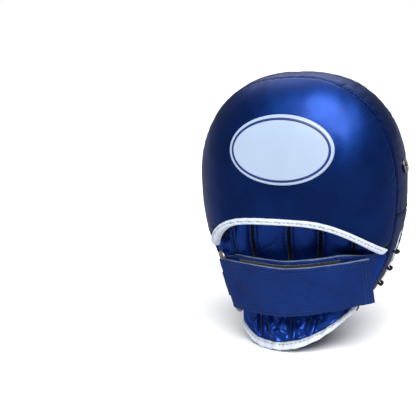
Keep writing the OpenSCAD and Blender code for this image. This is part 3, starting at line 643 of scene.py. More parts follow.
def make_band_lower():
    t = np.linspace(TAU + SEAM_T - SEAM_STEP, np.pi - SEAM_T + SEAM_STEP, 620)
    s = lengths(band_point(t[None], MID_Y, 0)[0])
    first = np.interp(-(TAU + edge_t(SLIT_TOP)), -t, s)
    last = np.interp(-(np.pi - edge_t(SLIT_TOP)), -t, s)
    r = SLIT_W / 2
    past = np.maximum(first - s, s - last)
    half = np.where(past <= 0, r, np.sqrt(np.maximum(0, r * r - np.clip(past, 0, r) ** 2)))
    rows = 30
    k = edge_rows(rows)[:, None]
    front = mix(GAP / 2, MID_Y - half[None], k)
    back = mix(MID_Y + half[None], BAND_D - GAP / 2, k)
    y = np.concatenate([front, back])
    p = band_point(t[None], y, 0)
    along = run(p, 1)
    lift = band_lift(p, y, along, 40)
    lip = np.where(half[None] > 0, np.abs(np.abs(y - MID_Y) - half[None]), 99)
    lift = lift * ease(lip / 6) - 0.5 * hump(lip, 1.2)
    holes = [band_point(slit_t(LACE_START + i * LACE_PITCH + slant), MID_Y + side * LACE_SPAN / 2, 0)
             for i in range(LACE_TURNS) for side, slant in ((1, 0), (-1, LACE_SLANT))]
    near = np.full(lift.shape, 99.0)
    for hole in holes:
        near = np.minimum(near, np.linalg.norm(p - hole, axis=-1))
    lift -= 1.3 * hump(near, 3.0)
    n = outward(t)[None]
    top = p + n * lift[..., None]
    keep = np.ones((y.shape[0] - 1, y.shape[1] - 1), bool)
    keep[rows - 1] = ~((half[1:] > 0) | (half[:-1] > 0))
    keep &= cells(near) > 1.7
    solid("side_band_lower", top, p - n * BAND_WALLS[1], BAND_BLUE_PAINTED_DARKER, keep=keep,
          nodes=("gusset_lower",), fill=0.9, sharp=60)


def make_seam_rows():
    """Two rows of stitching beside the sewn joint across the side band."""
    lines = []
    for side in (1, -1):
        for offset in (-2.4, 2.6):
            y = np.linspace(3, BAND_D - 3, 60)
            z = CROSS_SEAM_Z + offset
            t = edge_t(z) if side > 0 else np.pi - edge_t(z)
            p = band_point(t, y, 0.1)
            lines.append((p, np.broadcast_to(outward(np.array(t)), p.shape)))
    stitches("side_band_stitches", lines)


make_band_upper()
make_band_lower()
make_seam_rows()


# ---------------------------------------- lacing and tongue
def make_tongue():
    over = 4
    end = SLIT_TOP + SLIT_W / 2 + over
    t = np.linspace(np.pi - edge_t(end), TAU + edge_t(end), 420)
    y = np.linspace(MID_Y - TONGUE_W / 2, MID_Y + TONGUE_W / 2, 15)[:, None]
    p = band_point(t[None], y, TONGUE_D)
    along = run(p, 1)
    middle = 1 - ease((np.abs(y - MID_Y) - 3.0) / 3.5)
    lift = (1.3 + 0.25 * ripple(along, 9, 61) + 0.18 * waves(p, 8, 62)) * middle
    n = outward(t)[None]
    solid("white_tongue", p + n * lift[..., None], p - n * TONGUE_T, WHITE,
          nodes=("lace_tongue",), fill=0.7, sharp=50)


LACE_OVER = LEATHER / 2 + LACE_D / 2 + 0.6
LACE_UNDER = TONGUE_D + TONGUE_T + LACE_D / 2 + 0.5 - LEATHER / 2
# One turn of the lace: its share of the span, of the height over or under, and of the pitch
LACE_TURN = [(1, 0, 0), (0.97, 0.6, 0.03), (0.76, 1, 0.14), (-0.76, 1, 0.86), (-0.97, 0.6, 0.97),
             (-1, 0, 0), (-1, -0.62, 0.02), (-0.84, -0.98, 0.12), (0.84, -0.98, 0.88),
             (1, -0.62, 0.98)]


def make_lace():
    points = []
    for i in range(LACE_TURNS):
        turn = LACE_TURN[:7] if i == LACE_TURNS - 1 else LACE_TURN
        for k, (share, height, gone) in enumerate(turn):
            along = LACE_SLANT * gone if k < 5 else LACE_SLANT + (LACE_PITCH - LACE_SLANT) * gone
            lift = height * (LACE_OVER if height > 0 else LACE_UNDER)
            s = LACE_START + i * LACE_PITCH + along
            points.append(band_point(slit_t(s), MID_Y + share * LACE_SPAN / 2 * LACE_PULL,
                                     LEATHER / 2 - lift))
    path = smooth_path(points, 8)
    verts, faces = tube(path, LACE_D / 2 * LACE_SQUEEZE, 15, lobes=3, twist=1.5, lobe_depth=0.13)
    build("black_lace", verts, faces, LACE, nodes=("side_lace",), sharp=80)


make_tongue()
make_lace()


# ---------------------------------------- what fills the body
def outline_slab(name, depths, d, mat, nodes, relief):
    t = np.arange(200) / 200 * TAU
    r = np.linspace(0.05, 1, 40)[:, None]
    x, z = outline(t[None], d)
    edge = 0.8 * (1 - np.sqrt(1 - np.clip((r - 0.97) / 0.03, 0, 1) ** 2))
    flat = stack(x * r, 0 * x * r, WAIST + (z - WAIST) * r)
    bump = relief * waves(flat, 14, 71)
    top, bottom = flat.copy(), flat.copy()
    top[..., 1], bottom[..., 1] = depths[1] - edge - np.abs(bump), depths[0] + edge
    solid(name, top, bottom, mat, wrap=True, cap=True, nodes=nodes, fill=0.9, sharp=50)


outline_slab("inner_foam", FOAM_Y, FOAM_INSET, FOAM, ("strike_foam", "core_foam", "back_foam"), 0.2)
outline_slab("back_lining", BACKING_Y, BACKING_INSET, BLACK, ("back_panel",), 0.25)


# ---------------------------------------- hood
def arch_end(u):
    return mix(ARCH_END[0], ARCH_END[1], (u + 1) / 2)


def arch_power(u):
    return np.where(u < 0, ARCH_P[0], ARCH_P[1])


def arch_z(u):
    return ARCH_TOP - (ARCH_TOP - arch_end(u)) * np.abs(u) ** arch_power(u)


def arch_x(u, d):
    return u * edge_x(arch_end(u), d)


def hood_point(u, v, d):
    t = np.pi / 2 - u * (np.pi / 2 - edge_t(arch_end(u)))
    ox, oz = outline(t, d)
    x, z = mix(arch_x(u, d), ox, v), mix(arch_z(u), oz, v)
    y = np.where(v >= 1, BAND_D + GAP, hood_y(x, z, d))
    return stack(x, y, z)


def make_hood():
    u = np.linspace(HOOD_REACH, -HOOD_REACH, 380)[None]
    w = np.linspace(0, 1, 110)[:, None]
    v = 1 - (1 - w) ** 1.5
    p = hood_point(u, v, 0)
    n = toward(grid_normals(p), p, np.array([0, 30, 150]))
    seam, arch = run(p, 0, reverse=True), run(p, 0)
    around = run(p, 1)
    top_line = around[-1:]
    clear = label_mask(p, BACK_LABEL_Z)
    lift = -1.4 * hump(seam, 2.0)
    lift += 0.2 * ripple(top_line, 8, 81) * np.exp(-seam / 5) * (0.6 + 0.5 * waves(p, 60, 82))
    lift += 0.14 * ripple(around[:1], 9, 83) * np.exp(-arch / 5)
    lift += 0.15 * ripple(around[:1], 40, 84) * np.exp(-arch / 22)
    lift += clear * (0.3 * waves(p, 80, 85) + 0.07 * waves(p, 24, 86))
    lift -= 0.5 * hump(arch, 1.5)
    lift -= 0.8 * hump(from_ends(around), 2)
    top = p + n * lift[..., None]
    solid("hood_cover_soft", top, hood_point(u, v, HOOD_WALL), BLUE,
          nodes=("hood_cover",), fill=0.9, sharp=60)
    u2 = np.linspace(HOOD_REACH, -HOOD_REACH, 200)[None]
    v2 = 1 - (1 - np.linspace(0, 1, 60)[:, None]) ** 1.5
    k = ease(v2 / 0.3)
    outer = hood_point(u2, v2, HOOD_WALL + GAP)
    inner = hood_point(u2, v2, mix(LINING_EDGE, LINING_FULL, k) + LINING_T)
    ni = toward(grid_normals(inner), inner, np.array([0, 30, 150]))
    inner = inner + ni * (0.5 * waves(inner, 30, 89) * ease(v2 / 0.2) * ease((1 - v2) / 0.1))[..., None]
    solid("hood_padding", outer, inner, BLACK,
          nodes=("hood_foam", "hood_lining"), fill=0.9, sharp=50)


def rib_x(k, z):
    z = np.minimum(z, RIB_UPPER_Z)
    share = (z - RIB_LOWER_Z) / (RIB_UPPER_Z - RIB_LOWER_Z)
    return mix(RIB_LOWER_X[k], RIB_UPPER_X[k], share)


def panel_inset(z):
    return mix(PANEL_LOW_INSET, PANEL_HIGH_INSET, ease((z - min(ARCH_END) + 12) / PANEL_TURN))


def panel_face_y(s):
    return BAND_D + GAP + PANEL_EDGE_T + PANEL_CROWN * (1 - s * s)


def panel_share(x, z):
    a = np.abs(np.where(x > 0, rib_x(0, z), rib_x(4, z)))
    b = edge_x(z, panel_inset(z))
    return np.clip((np.abs(x) - a) / np.maximum(1, b - a), 0, 1)


def low_line(p):
    """How high the lining and the side panels come under the hood's binding."""
    return np.maximum(hood_y(p[..., 0], p[..., 2], LINING_EDGE + LINING_T + 0.6),
                      panel_face_y(panel_share(p[..., 0], p[..., 2])) + GAP)


def high_line(p, low):
    """How high the binding stands over the hood's leather, or over its own low side."""
    return np.maximum(hood_y(p[..., 0], p[..., 2], -1.0), low + 2.2)


def make_hood_binding():
    u = np.linspace(1, -1, 420)
    n = arch_power(u)
    slope = -(ARCH_TOP - arch_end(u)) * n * np.sign(u) * np.abs(u) ** (n - 1) / arch_x(1.0, 0)
    into = unit(stack(slope, 0 * u, 0 * u - 1))

    def spot(v, d):
        return stack(arch_x(u, d), 0 * u, arch_z(u)) + into * mix(0.2, BINDING_W, v)[..., None]

    v, side = tape_section(44)
    v = v + 0 * u
    inner, outer = spot(v, LINING_EDGE + LINING_T), spot(v, 0)
    inner[..., 1] = low_line(inner)
    outer[..., 1] = high_line(outer, inner[..., 1])
    arc = run(outer, 1)
    sewn = np.abs(np.sin(arc * np.pi / PUCKER)) ** 0.7
    groove = hump(v - 0.5, 0.14) * (side > 0.9)
    swell = 0.35 * sewn * hump(np.abs(v - 0.5) - 0.27, 0.16) * (side > 0.9)
    outer[..., 1] += swell - 0.55 * groove + 0.2 * ripple(arc, 11, 91) * (side > 0.9)
    verts, faces = shell_loop(mix(inner, outer, side[..., None]))
    build("hood_binding_tape", verts, faces, WHITE,
          nodes=("hood_binding",), fill=0.8, sharp=60)
    line = spot(np.full((1, len(u)), 0.5), 0)[0]
    line[:, 1] = high_line(line, low_line(line)) - 0.25
    up = toward(np.cross(unit(np.gradient(line, axis=0)), into), line, np.array([0, 30, 120]))
    keep = slice(6, -6)
    stitches("hood_binding_stitches", [(line[keep], up[keep])], GREY_THREAD,
             length=3.2, step=4.2, radius=0.42)


make_hood()
make_hood_binding()


# ---------------------------------------- palm
def lip_z(x):
    flap_side = LIP_RISE[0] * np.clip((LIP_LOW_X - x) / (LIP_HALF_W + LIP_LOW_X), 0, 1) ** LIP_P
    ring_side = LIP_RISE[1] * np.clip((x - LIP_LOW_X) / (LIP_HALF_W - LIP_LOW_X), 0, 1) ** LIP_P
    return -LIP_DROP + flap_side + ring_side


def palm_base_y(x, z):
    depth = np.clip((LIP_TOP - z) / (LIP_TOP - lip_z(x)), 0, 1)
    return PALM_Y + LIP_FLARE * (1 - np.minimum(1, np.abs(x) / LIP_HALF_W) ** 2) * depth ** 1.6


def crumple(p, seed):
    """Relief of the leather where the wrist works it: sharp folds over soft lumps."""
    low = ease((44 - p[..., 2]) / 30)
    lumps = 1.05 * waves(p, 16, seed, stretch=(1, 1, 1.1)) + 0.45 * waves(p, 7.5, seed + 1)
    folds = 1.3 * creases(p, 18, seed + 2, 0.18, stretch=(0.7, 1, 1.4))
    return low * (lumps - folds)


def make_rib(k):
    s = np.linspace(0, 1, 34)[None]
    s = mix(s, (1 - np.cos(np.pi * s)) / 2, 0.5)
    v = np.linspace(0, 1, 190)[:, None]
    x_low = mix(RIB_LOWER_X[k] - RIB_GAP / 2, RIB_LOWER_X[k + 1] + RIB_GAP / 2, s)
    z = mix(RIB_TOP_Z, lip_z(x_low) + BINDING_W + 1.6, v)
    x = mix(rib_x(k, z) - RIB_GAP / 2, rib_x(k + 1, z) + RIB_GAP / 2, s)
    base = stack(x, palm_base_y(x, z), z)
    width = np.abs(x[:, :1] - x[:, -1:])
    w = np.minimum(s, 1 - s) * width
    q = np.clip((w - 1.5) / np.maximum(3, width / 2 - 1.5), 0, 1)
    crown = (RIB_T - RIB_EDGE_T) * (1 - (1 - q) ** 2.4) * np.minimum(1, 0.72 + width / 90)
    ends = mix(0.35, 1, ease(np.minimum(v, 1 - v) / 0.05))
    height = RIB_EDGE_T * ends + crown * ends
    top = base + stack(0, height, 0)
    n = toward(grid_normals(top), top, base.mean((0, 1)) - [0, 60, 0])
    arc = run(top, 0)
    lift = 0.22 * waves(top, 18, 100 + k) * q - 0.35 * creases(top, 34, 110 + k, 0.13, (0.4, 1, 1)) * q
    lift += crumple(top, 120 + 5 * k) * (0.25 + 0.75 * q)
    lift -= 0.35 * hump(w - RIB_SEW, 0.7)
    lift += 0.18 * np.sin(arc * TAU / 3.8) * hump(w - 3.0, 1.2)
    top = top + n * lift[..., None]
    solid(f"finger_rib_{k + 1}", top, base, (RIB_BLUE_PAINTED_LIGHTER, RAW_EDGE),
          nodes=(f"palm_rib_{k + 1}",), fill=0.85, sharp=45)
    lines = []
    for i in (1, -2):
        share = RIB_SEW / width[:, 0]
        near = share if i == 1 else 1 - share
        at = np.array([[np.interp(near[r], s[0], top[r, :, c]) for c in range(3)]
                       for r in range(len(top))])
        lines.append((at[8:-6], n[8:-6, i]))
    return lines


def make_palm():
    lines = []
    for k in range(4):
        lines += make_rib(k)
    stitches("finger_rib_stitches", lines, length=2.6, step=3.6, radius=0.34)
    z = np.linspace(PALM_LOW, RIB_TOP_Z + 6, 60)[:, None]
    k = np.linspace(1, 0, 40)[None]
    right = np.minimum(np.abs(rib_x(0, z)), edge_x(z, panel_inset(z)) - RIB_GAP)
    left = -np.minimum(np.abs(rib_x(4, z)), edge_x(z, panel_inset(z)) - RIB_GAP)
    x = mix(left, right, k)
    low = stack(x, BAND_D + GAP, z + 0 * x)
    top = stack(x, BAND_D + PALM_T, z + 0 * x)
    top = top + stack(0, 0.3 * waves(top, 12, 140) - 0.3, 0)
    solid("palm_lining", top, low, BLACK, nodes=("palm_pad",), fill=0.8)


def make_side_panel(side, name, node):
    z = np.linspace(PALM_LOW + 6, PANEL_TOP, 130)[:, None]
    inner = side * (np.abs(rib_x(0 if side > 0 else 4, z)) + GAP)
    reach = mix(2.5 if side > 0 else 0.8, PANEL_HIGH_INSET,
                ease((z - min(ARCH_END) + 8) / PANEL_TURN))
    outer = side * np.maximum(np.abs(inner) + 3, edge_x(z, reach))
    s = edge_rows(34, 1.4)[None]
    x = mix(inner, outer, s)
    back = stack(x, BAND_D + GAP, z + 0 * x)
    face = stack(x, panel_face_y(s) + 0 * x, z + 0 * x)
    w = s * np.abs(outer - inner)
    end = np.minimum(z - z[0], z[-1] - z)
    lift = 0.4 * waves(face, 24, 150 + side) + 0.15 * waves(face, 9, 153 + side)
    lift -= 0.6 * creases(face, 26, 156 + side, 0.14, (1, 1, 0.6))
    lift -= 0.9 * hump(w, 1.2) + 0.8 * hump(end, 1.5)
    face[..., 1] += np.maximum(lift, -1.0) - 0.8 * s ** 6
    solid(name, face, back, (RIB_BLUE_PAINTED_LIGHTER, RAW_EDGE), nodes=(node,),
          fill=0.85, sharp=50)
    row = face[4:-4, 6]
    stitches(name + "_stitches", [(row, np.broadcast_to([0, 1.0, 0], row.shape))])


def make_lip():
    u = np.linspace(1, -1, 240)[None]
    v = np.linspace(0, 1, 50)[:, None]
    x = u * LIP_HALF_W
    z = mix(LIP_TOP, lip_z(x) + BINDING_W + 0.5, v)
    x = x + 0 * z
    base = palm_base_y(x, z) - GAP
    thick = mix(PALM_T - GAP, LIP_T, v)
    face = stack(x, base, z)
    back = stack(x, np.maximum(BAND_D + GAP, base - thick), z)
    face[..., 1] -= 0.5 * ease(v / 0.2) * creases(face, 20, 160, 0.3)
    solid("wrist_lip_soft", face, back, RIB_BLUE_PAINTED_LIGHTER, nodes=("wrist_lip",),
          fill=0.85, sharp=50)
    v, side = tape_section(40)
    x = u * LIP_HALF_W + 0 * v
    z = mix(lip_z(x) + BINDING_W, lip_z(x), v)
    outer = stack(x, palm_base_y(x, z) + 1.6, z)
    inner = stack(x, np.maximum(BAND_D + GAP, palm_base_y(x, z) - LIP_T - 1.2), z)
    arc = run(outer, 1)
    front = side > 0.9
    groove = 0.7 * hump(v - 0.2, 0.1)
    sewn = 0.3 * np.abs(np.sin(arc * np.pi / PUCKER))
    outer[..., 1] += front * (sewn - groove + 0.25 * ripple(arc, 12, 161))
    outer[..., 2] += 0.3 * ripple(arc, 15, 162)
    verts, faces = shell_loop(mix(inner, outer, side[..., None]))
    build("wrist_binding_tape", verts, faces, WHITE,
          nodes=("wrist_binding",), fill=0.8, sharp=60)
    x = u[0] * LIP_HALF_W
    z = lip_z(x) + BINDING_W * 0.8
    line = stack(x, palm_base_y(x, z) + 1.35, z)
    up = unit(stack(0 * x, 0 * x + 1, 0 * x - 0.25))
    stitches("wrist_binding_stitches", [(line[5:-5], up[5:-5])], GREY_THREAD,
             length=3.2, step=4.4, radius=0.45)


make_palm()
make_side_panel(1, "side_panel_ring_side", "side_panel_right")
make_side_panel(-1, "side_panel_flap_side", "side_panel_left")
make_lip()


# ---------------------------------------- labels
def make_label(name, spot, z0, nodes):
    t = np.arange(160) / 160 * TAU
    r = (1 - (1 - np.linspace(0.04, 1, 46)) ** 1.7)[:, None]
    x, z = LABEL_A * r * np.cos(t), z0 + LABEL_B * r * np.sin(t)
    rise = LABEL_T * np.sqrt(np.maximum(0, 1 - np.clip((r - 0.955) / 0.045, 0, 1) ** 2))
    lift = rise * 0.92 + 0.1 + 0.06 * waves(stack(x, 0 * x, z), 22, 170)
    solid(name, spot(x, z, lift), spot(x, z, 0 * lift - 0.5), LABEL_WHITE, wrap=True, cap=True,
          nodes=nodes[:1], sharp=60)
    c = np.linspace(-1, 1, 9)[:, None]
    a, b = (size - LINE_INSET + LINE_HALF_W * c for size in (LABEL_A, LABEL_B))
    x, z = a * np.cos(t), z0 + b * np.sin(t)
    lift = LABEL_T + 0.05 + 0.28 * np.sqrt(1 - c * c * 0.98)
    solid(name + "_line", spot(x, z, lift + 0 * x), spot(x, z, 0.9 + 0 * x), LABEL_BLUE,
          wrap=True, nodes=nodes[1:], sharp=60)


make_label("back_oval", lambda x, z, lift: stack(x, hood_y(x, z) + lift, z), BACK_LABEL_Z,
           ("back_label", "back_label_line"))
make_label("front_oval", lambda x, z, lift: stack(x, face_y(radial(x, z, 0)) - GAP / 2 - lift, z),
           FRONT_LABEL_Z, ("front_label", "front_label_line"))


# ---------------------------------------- strap
BAR = np.array([edge_x(STRAP_Z[0], 0) - 7.2, BAND_D + 13, STRAP_Z[0]])
FREE_END = np.array([5.8 - edge_x(STRAP_Z[2], 0), BAND_D + 9, STRAP_Z[2]])
STITCH_ROWS = (2.0, 4.6)
ACROSS = np.linspace(-1, 1, 51)
ACROSS = mix(np.sin(np.pi / 2 * ACROSS), ACROSS, 0.5)
BAR_DIR = np.array([np.sin(RING_TILT), 0, np.cos(RING_TILT)])


def ring_frame(x, y, z=0.0):
    """A direction in the ring's frame, whose z runs along the bar, in design axes."""
    c, s = np.cos(RING_TILT), np.sin(RING_TILT)
    return stack(x * c + z * s, y, -x * s + z * c)


LEAD_DIR = ring_frame(-np.cos(STRAP_LEAD), np.sin(STRAP_LEAD))
LEAD_OUT = ring_frame(np.sin(STRAP_LEAD), np.cos(STRAP_LEAD))


def strap_mid(k):
    if k > 0:
        return np.array([k * BAR[0], mix(CROWN_Y, BAR[1], k ** 1.85), mix(STRAP_Z[1], BAR[2], k * k)])
    return np.array([-k * FREE_END[0], mix(CROWN_Y, FREE_END[1], k * k),
                     mix(STRAP_Z[1], FREE_END[2], -k)])


def strap_across(k):
    if k > 0:
        return unit(np.array([np.tan(RING_TILT) * k ** 1.5, 0.2 * (1 - k), 1]))
    return unit(np.array([0, 0.2 - 0.18 * k, 1]))


def strap_out(k):
    along = unit(strap_mid(max(-1, k - 0.02)) - strap_mid(min(1, k + 0.02)))
    return unit(np.cross(strap_across(k), -along))


def near_ring(k):
    return ease((k - 0.78) / 0.22)


def strap_row(k, w, lift, shift=0.0):
    centre = strap_mid(k) + strap_out(k) * lift + np.array([0, 0, shift])
    return centre + w[:, None] * strap_across(k) * STRAP_W / 2


def strap_start(w, lift, distance):
    return BAR + LEAD_OUT * lift + LEAD_DIR * distance + w[:, None] * BAR_DIR * STRAP_W / 2


def ribbon(name, inner, outer, nodes, seed, end_rows=()):
    """A strip of leather between two grids of points: rounded edges, raw rims, rows of
    stitching along both sides and, where asked, across its end."""
    n = unit(outer - inner)
    along = run(outer, 0)
    edge = (1 - np.abs(ACROSS)) * STRAP_W / 2
    lift = 0.35 * waves(outer, 26, seed) + 0.12 * waves(outer, 9, seed + 1)
    lift -= 0.3 * creases(outer, 34, seed + 2, 0.1, (0.6, 1, 1))
    for row in STITCH_ROWS:
        lift -= 0.4 * hump(edge - row, 0.6)
    lift -= 0.6 * hump(edge, 0.5)
    calm = ease(np.minimum(along, along[-1:] - along) / 8)
    top = outer + n * (lift * mix(0.25, 1, calm))[..., None]
    low = inner + n * (0.4 * hump(edge, 0.5))[None, :, None]
    strip = solid(name, top, low, (STRAP_BLUE, RAW_EDGE), body=None,
                  nodes=nodes, fill=0.6, sharp=50)
    lines = []
    for row in STITCH_ROWS:
        for side in (1, -1):
            col = int(np.argmin(np.abs(ACROSS - side * (1 - row / (STRAP_W / 2)))))
            lines.append((top[2:-3, col], n[2:-3, col]))
    for distance in end_rows:
        i = int(np.argmin(np.abs(along[-1, 20] - along[:, 20] - distance)))
        lines.append((top[i, 3:-3], n[i, 3:-3]))
    sewn = stitches(name + "_stitches", lines, body=None, slot="strap_leather", length=2.5,
                    step=3.4, radius=0.33)
    return strip, sewn


def make_flap():
    ks = [0.93, 0.84, 0.72, 0.58, 0.42, 0.26, 0.1, -0.06, -0.22, -0.38, -0.54, -0.7, -0.86, -1]

    def layer(extra):
        rows = [strap_start(ACROSS, WRAP_R + extra, 0.0)]
        rows += [strap_row(k, ACROSS, mix(SEAT, WRAP_R, near_ring(k)) + extra) for k in ks]
        return smooth_path(rows, 12)

    parts = ribbon("strap_flap_leather", layer(0), layer(STRAP_T), ("strap_flap",), 200,
                   end_rows=(2.4, 5.2, 8.4))
    for obj in parts:
        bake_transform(obj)
    rows = [-0.1, -0.25, -0.4, -0.55, -0.7, -0.85, -0.96]
    patch("strap_hook_fastener", rows, GAP / 2, GAP / 2 + PATCH_T, 0, "flap", "strap_hook_patch")


def patch(name, ks, lift0, lift1, shift, body, node):
    w = np.linspace(-0.88, 0.88, 60)
    low = smooth_path([strap_row(k, w, lift0, shift) for k in ks], 14)
    top = smooth_path([strap_row(k, w, lift1, shift) for k in ks], 14)
    n = unit(top - low)
    top = top + n * (0.1 * waves(top, 3.0, 210))[..., None]
    solid(name, top, low, HOOK, body=body, nodes=(node,), sharp=50)


def make_under_layer():
    ks = [0.9, 0.8, 0.68, 0.54, 0.38, 0.22, 0.06, -0.1, -0.26, -0.42, -0.58, -0.74]
    last, shift, root_normal = -0.74, 4.0, np.array([0.7, 0.5, 0])
    top_z = min(ARCH_END[0] - 3, STRAP_Z[2] + STRAP_W / 2)
    z = mix(top_z - STRAP_W * 0.86, top_z, (ACROSS + 1) / 2)
    root = stack(-edge_x(z, 2 + STRAP_T), BAND_D + 1 + STRAP_T, z)

    def layer(extra):
        seat = mix(SEAT, WRAP_R, near_ring(last)) + extra
        rows = [strap_start(ACROSS, -WRAP_R - extra, 0.0)]
        rows += [strap_row(k, ACROSS, -mix(SEAT, WRAP_R, near_ring(k)) - extra,
                           shift * (1 - near_ring(k))) for k in ks]
        rows.append(mix(strap_row(last, ACROSS, -seat, shift), root, 0.55) + strap_out(last) * 3)
        rows.append(root + root_normal * (STRAP_T - extra))
        return smooth_path(rows, 12)

    parts = ribbon("strap_under_leather", layer(STRAP_T), layer(0), ("strap_inner",), 220)
    for obj in parts:
        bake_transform(obj)
    rows = [0.72, 0.56, 0.4, 0.24, 0.08, -0.08, -0.24, -0.4, -0.56, -0.7]
    patch("strap_loop_fastener", rows, -GAP / 2 - PATCH_T, -GAP / 2, 4, "root", "strap_loop_patch")


def make_bight():
    phi = np.linspace(0, np.pi, 30)
    aim = (-LEAD_OUT[None] * np.cos(phi)[:, None] - LEAD_DIR[None] * np.sin(phi)[:, None])
    line = BAR + ACROSS[None, :, None] * BAR_DIR * STRAP_W / 2
    inner = line + aim[:, None] * WRAP_R
    outer = line + aim[:, None] * (WRAP_R + STRAP_T)
    edge = (1 - np.abs(ACROSS)) * STRAP_W / 2
    outer = outer - aim[:, None] * (0.6 * hump(edge, 0.5))[None, :, None]
    outer = outer + aim[:, None] * (0.12 * waves(outer, 6, 231))[..., None]
    solid("strap_fold", outer, inner, (STRAP_BLUE, RAW_EDGE), body="ring",
          nodes=("strap_bight",), fill=0.6, sharp=50)


make_flap()
make_under_layer()
make_bight()


# ---------------------------------------- ring, tab and eyelets
def make_ring():
    half = STRAP_W / 2 + 0.8 + RING_BEND
    corners = [(RING_BEND, half - RING_BEND, 90, 180), (RING_BEND, RING_BEND - half, 180, 270),
               (RING_PITCH - RING_BEND, RING_BEND - half, 270, 360),
               (RING_PITCH - RING_BEND, half - RING_BEND, 0, 90)]
    flat = []
    for cx, cz, a0, a1 in corners:
        for a in np.radians(np.linspace(a0, a1, 12)):
            flat.append((cx + RING_BEND * np.cos(a), cz + RING_BEND * np.sin(a)))
    lean = np.array([np.cos(RING_LEAN), -np.sin(RING_LEAN)])
    flat = np.array(flat)
    dense = []
    for a, b in zip(flat, np.roll(flat, -1, 0)):
        count = max(1, int(np.linalg.norm(b - a) / 1.2))
        dense += [mix(a, b, i / count) for i in range(count)]
    path = np.array([BAR + ring_frame(q[0] * lean[0], q[0] * lean[1], q[1]) for q in dense])
    verts, faces = tube(path, WIRE_D / 2, 24, closed=True)
    build("strap_ring_wire", verts, faces, NICKEL, body="ring",
          nodes=("strap_ring",), sharp=60)


def make_tab():
    bar = np.array([RING_PITCH * np.cos(RING_LEAN), -RING_PITCH * np.sin(RING_LEAN)])
    tail = np.radians(-115.0)
    away = np.array([np.cos(tail), np.sin(tail)])
    across = np.array([-away[1], away[0]])
    reach = BAR[1] + bar[1] - BAND_D - 1.5
    r = WRAP_R + TAB_T / 2
    turn = [bar + r * np.array([np.cos(a), np.sin(a)])
            for a in tail + np.radians(np.linspace(55, 305, 30))]
    path = [bar + away * reach + across * (TAB_T / 2 + 0.05),
            bar + away * (r + 1.6) + across * (TAB_T / 2 + 0.05)]
    path += turn
    path += [bar + away * (r + 1.6) - across * (TAB_T / 2 + 0.05),
             bar + away * reach - across * (TAB_T / 2 + 0.05)]
    path = np.array(path)
    d = unit(np.gradient(path, axis=0))
    side = np.stack([d[:, 1], -d[:, 0]], -1)
    w = np.linspace(-TAB_W / 2, TAB_W / 2, 40) + TAB_LIFT

    def surface(offset):
        q = path + side * offset
        return np.array([[BAR + ring_frame(x, y, z) for z in w] for x, y in q])

    outer, inner = surface(TAB_T / 2), surface(-TAB_T / 2)
    outer = outer + (outer - inner) / TAB_T * (0.1 * waves(outer, 6, 241))[..., None]
    solid("ring_tab_leather", outer, inner, (STRAP_BLUE, RAW_EDGE),
          nodes=("ring_tab",), fill=0.6, sharp=50)


def make_eyelet(side, name, node):
    centre, n = vent_frame(side)
    r0, r1, rim = VENT_BORE / 2, VENT_BORE / 2 + VENT_WALL, VENT_FLANGE / 2
    profile = [(r0, -5.5), (r1, -5.5), (r1, VENT_SEAT - 0.3), (rim - 0.3, VENT_SEAT - 0.2)]
    for a in np.radians(np.linspace(-60, 90, 8)):
        profile.append((rim - 0.6 + 0.6 * np.cos(a), VENT_SEAT + 0.35 + 0.35 * np.sin(a)))
    for a in np.radians(np.linspace(90, 180, 12)):
        fall = 1 - np.sin(a)
        profile.append((rim - 1.6 - (rim - 2.0 - r0) * fall, VENT_SEAT + 1.2 - 0.5 * fall))
    profile.append((r0, VENT_SEAT + 0.2))
    rows = []
    u = unit(np.cross(n, [0, 1, 0]))
    v = np.cross(n, u)
    a = np.arange(72) / 72 * TAU
    for radius, height in profile:
        rows.append(centre + n * height + (u * np.cos(a)[:, None] + v * np.sin(a)[:, None]) * radius)
    faces = ring_faces(len(rows), len(a), closed=True)
    build(name, np.concatenate(rows), faces, NICKEL, nodes=(node,), sharp=35)


make_ring()
make_tab()
make_eyelet(1, "vent_eyelet_ring_side", "vent_eyelet_right")
make_eyelet(-1, "vent_eyelet_flap_side", "vent_eyelet_left")
for washer in ("vent_washer_left", "vent_washer_right"):
    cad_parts[washer].data.materials.clear()
    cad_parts[washer].data.materials.append(NICKEL)


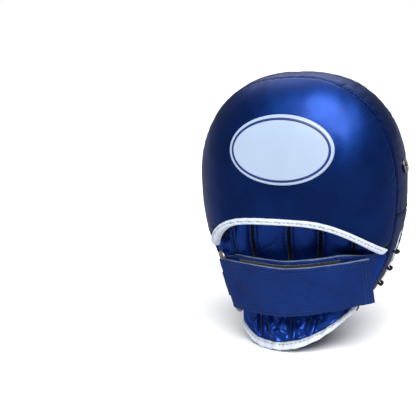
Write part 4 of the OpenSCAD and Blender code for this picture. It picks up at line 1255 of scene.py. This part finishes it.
# ---------------------------------------- floor and light
def make_card(name, colour, roughness, size, drop):
    """A level square just under the object, which isn't part of it."""
    paint = bpy.data.materials.new("studio_" + name)
    paint.use_nodes = True
    shader = paint.node_tree.nodes["Principled BSDF"]
    shader.inputs["Base Color"].default_value = colour
    shader.inputs["Roughness"].default_value = roughness
    low = cad_box[0][2] - drop
    mesh = bpy.data.meshes.new(name)
    mesh.from_pydata([(-size, -size, low), (size, -size, low), (size, size, low), (-size, size, low)],
                     [], [(0, 1, 2, 3)])
    mesh.materials.append(paint)
    card = add(name, mesh)
    return card


def make_sun(name, energy, azimuth, elevation, angle):
    data = bpy.data.lights.new(name, "SUN")
    data.energy, data.angle = energy, angle
    lamp = add(name, data)
    way = direction(azimuth, elevation)
    lamp.matrix_world = Matrix.Translation(way) @ way.to_track_quat("Z", "Y").to_matrix().to_4x4()


def make_world():
    world = bpy.data.worlds.new("studio")
    bpy.context.scene.world = world
    world.use_nodes = True
    nodes, links = world.node_tree.nodes, world.node_tree.links
    dim = nodes["Background"]
    dim.inputs["Color"].default_value = (0.90, 0.94, 1.0, 1)
    dim.inputs["Strength"].default_value = 0.17
    backdrop = nodes.new("ShaderNodeBackground")
    backdrop.inputs["Color"].default_value = (1, 1, 1, 1)
    seen, either = nodes.new("ShaderNodeLightPath"), nodes.new("ShaderNodeMixShader")
    links.new(seen.outputs["Is Camera Ray"], either.inputs[0])
    links.new(dim.outputs[0], either.inputs[1])
    links.new(backdrop.outputs[0], either.inputs[2])
    links.new(either.outputs[0], nodes["World Output"].inputs["Surface"])


make_world()
make_card("floor", (0.86, 0.87, 0.89, 1), 0.8, 30, 0.0005)
# Only reflections meet the flag, a dark card on the floor that keeps the pearl finish deep.
flag = make_card("flag", (0.20, 0.20, 0.21, 1), 1.0, 6, 0.0003)
flag.visible_camera = flag.visible_diffuse = flag.visible_shadow = False
make_sun("key", 4.9, 209, 57, 0.9)
make_sun("front_key", 1.0, 20, 50, 0.9)
bpy.context.scene.view_settings.view_transform = "Standard"
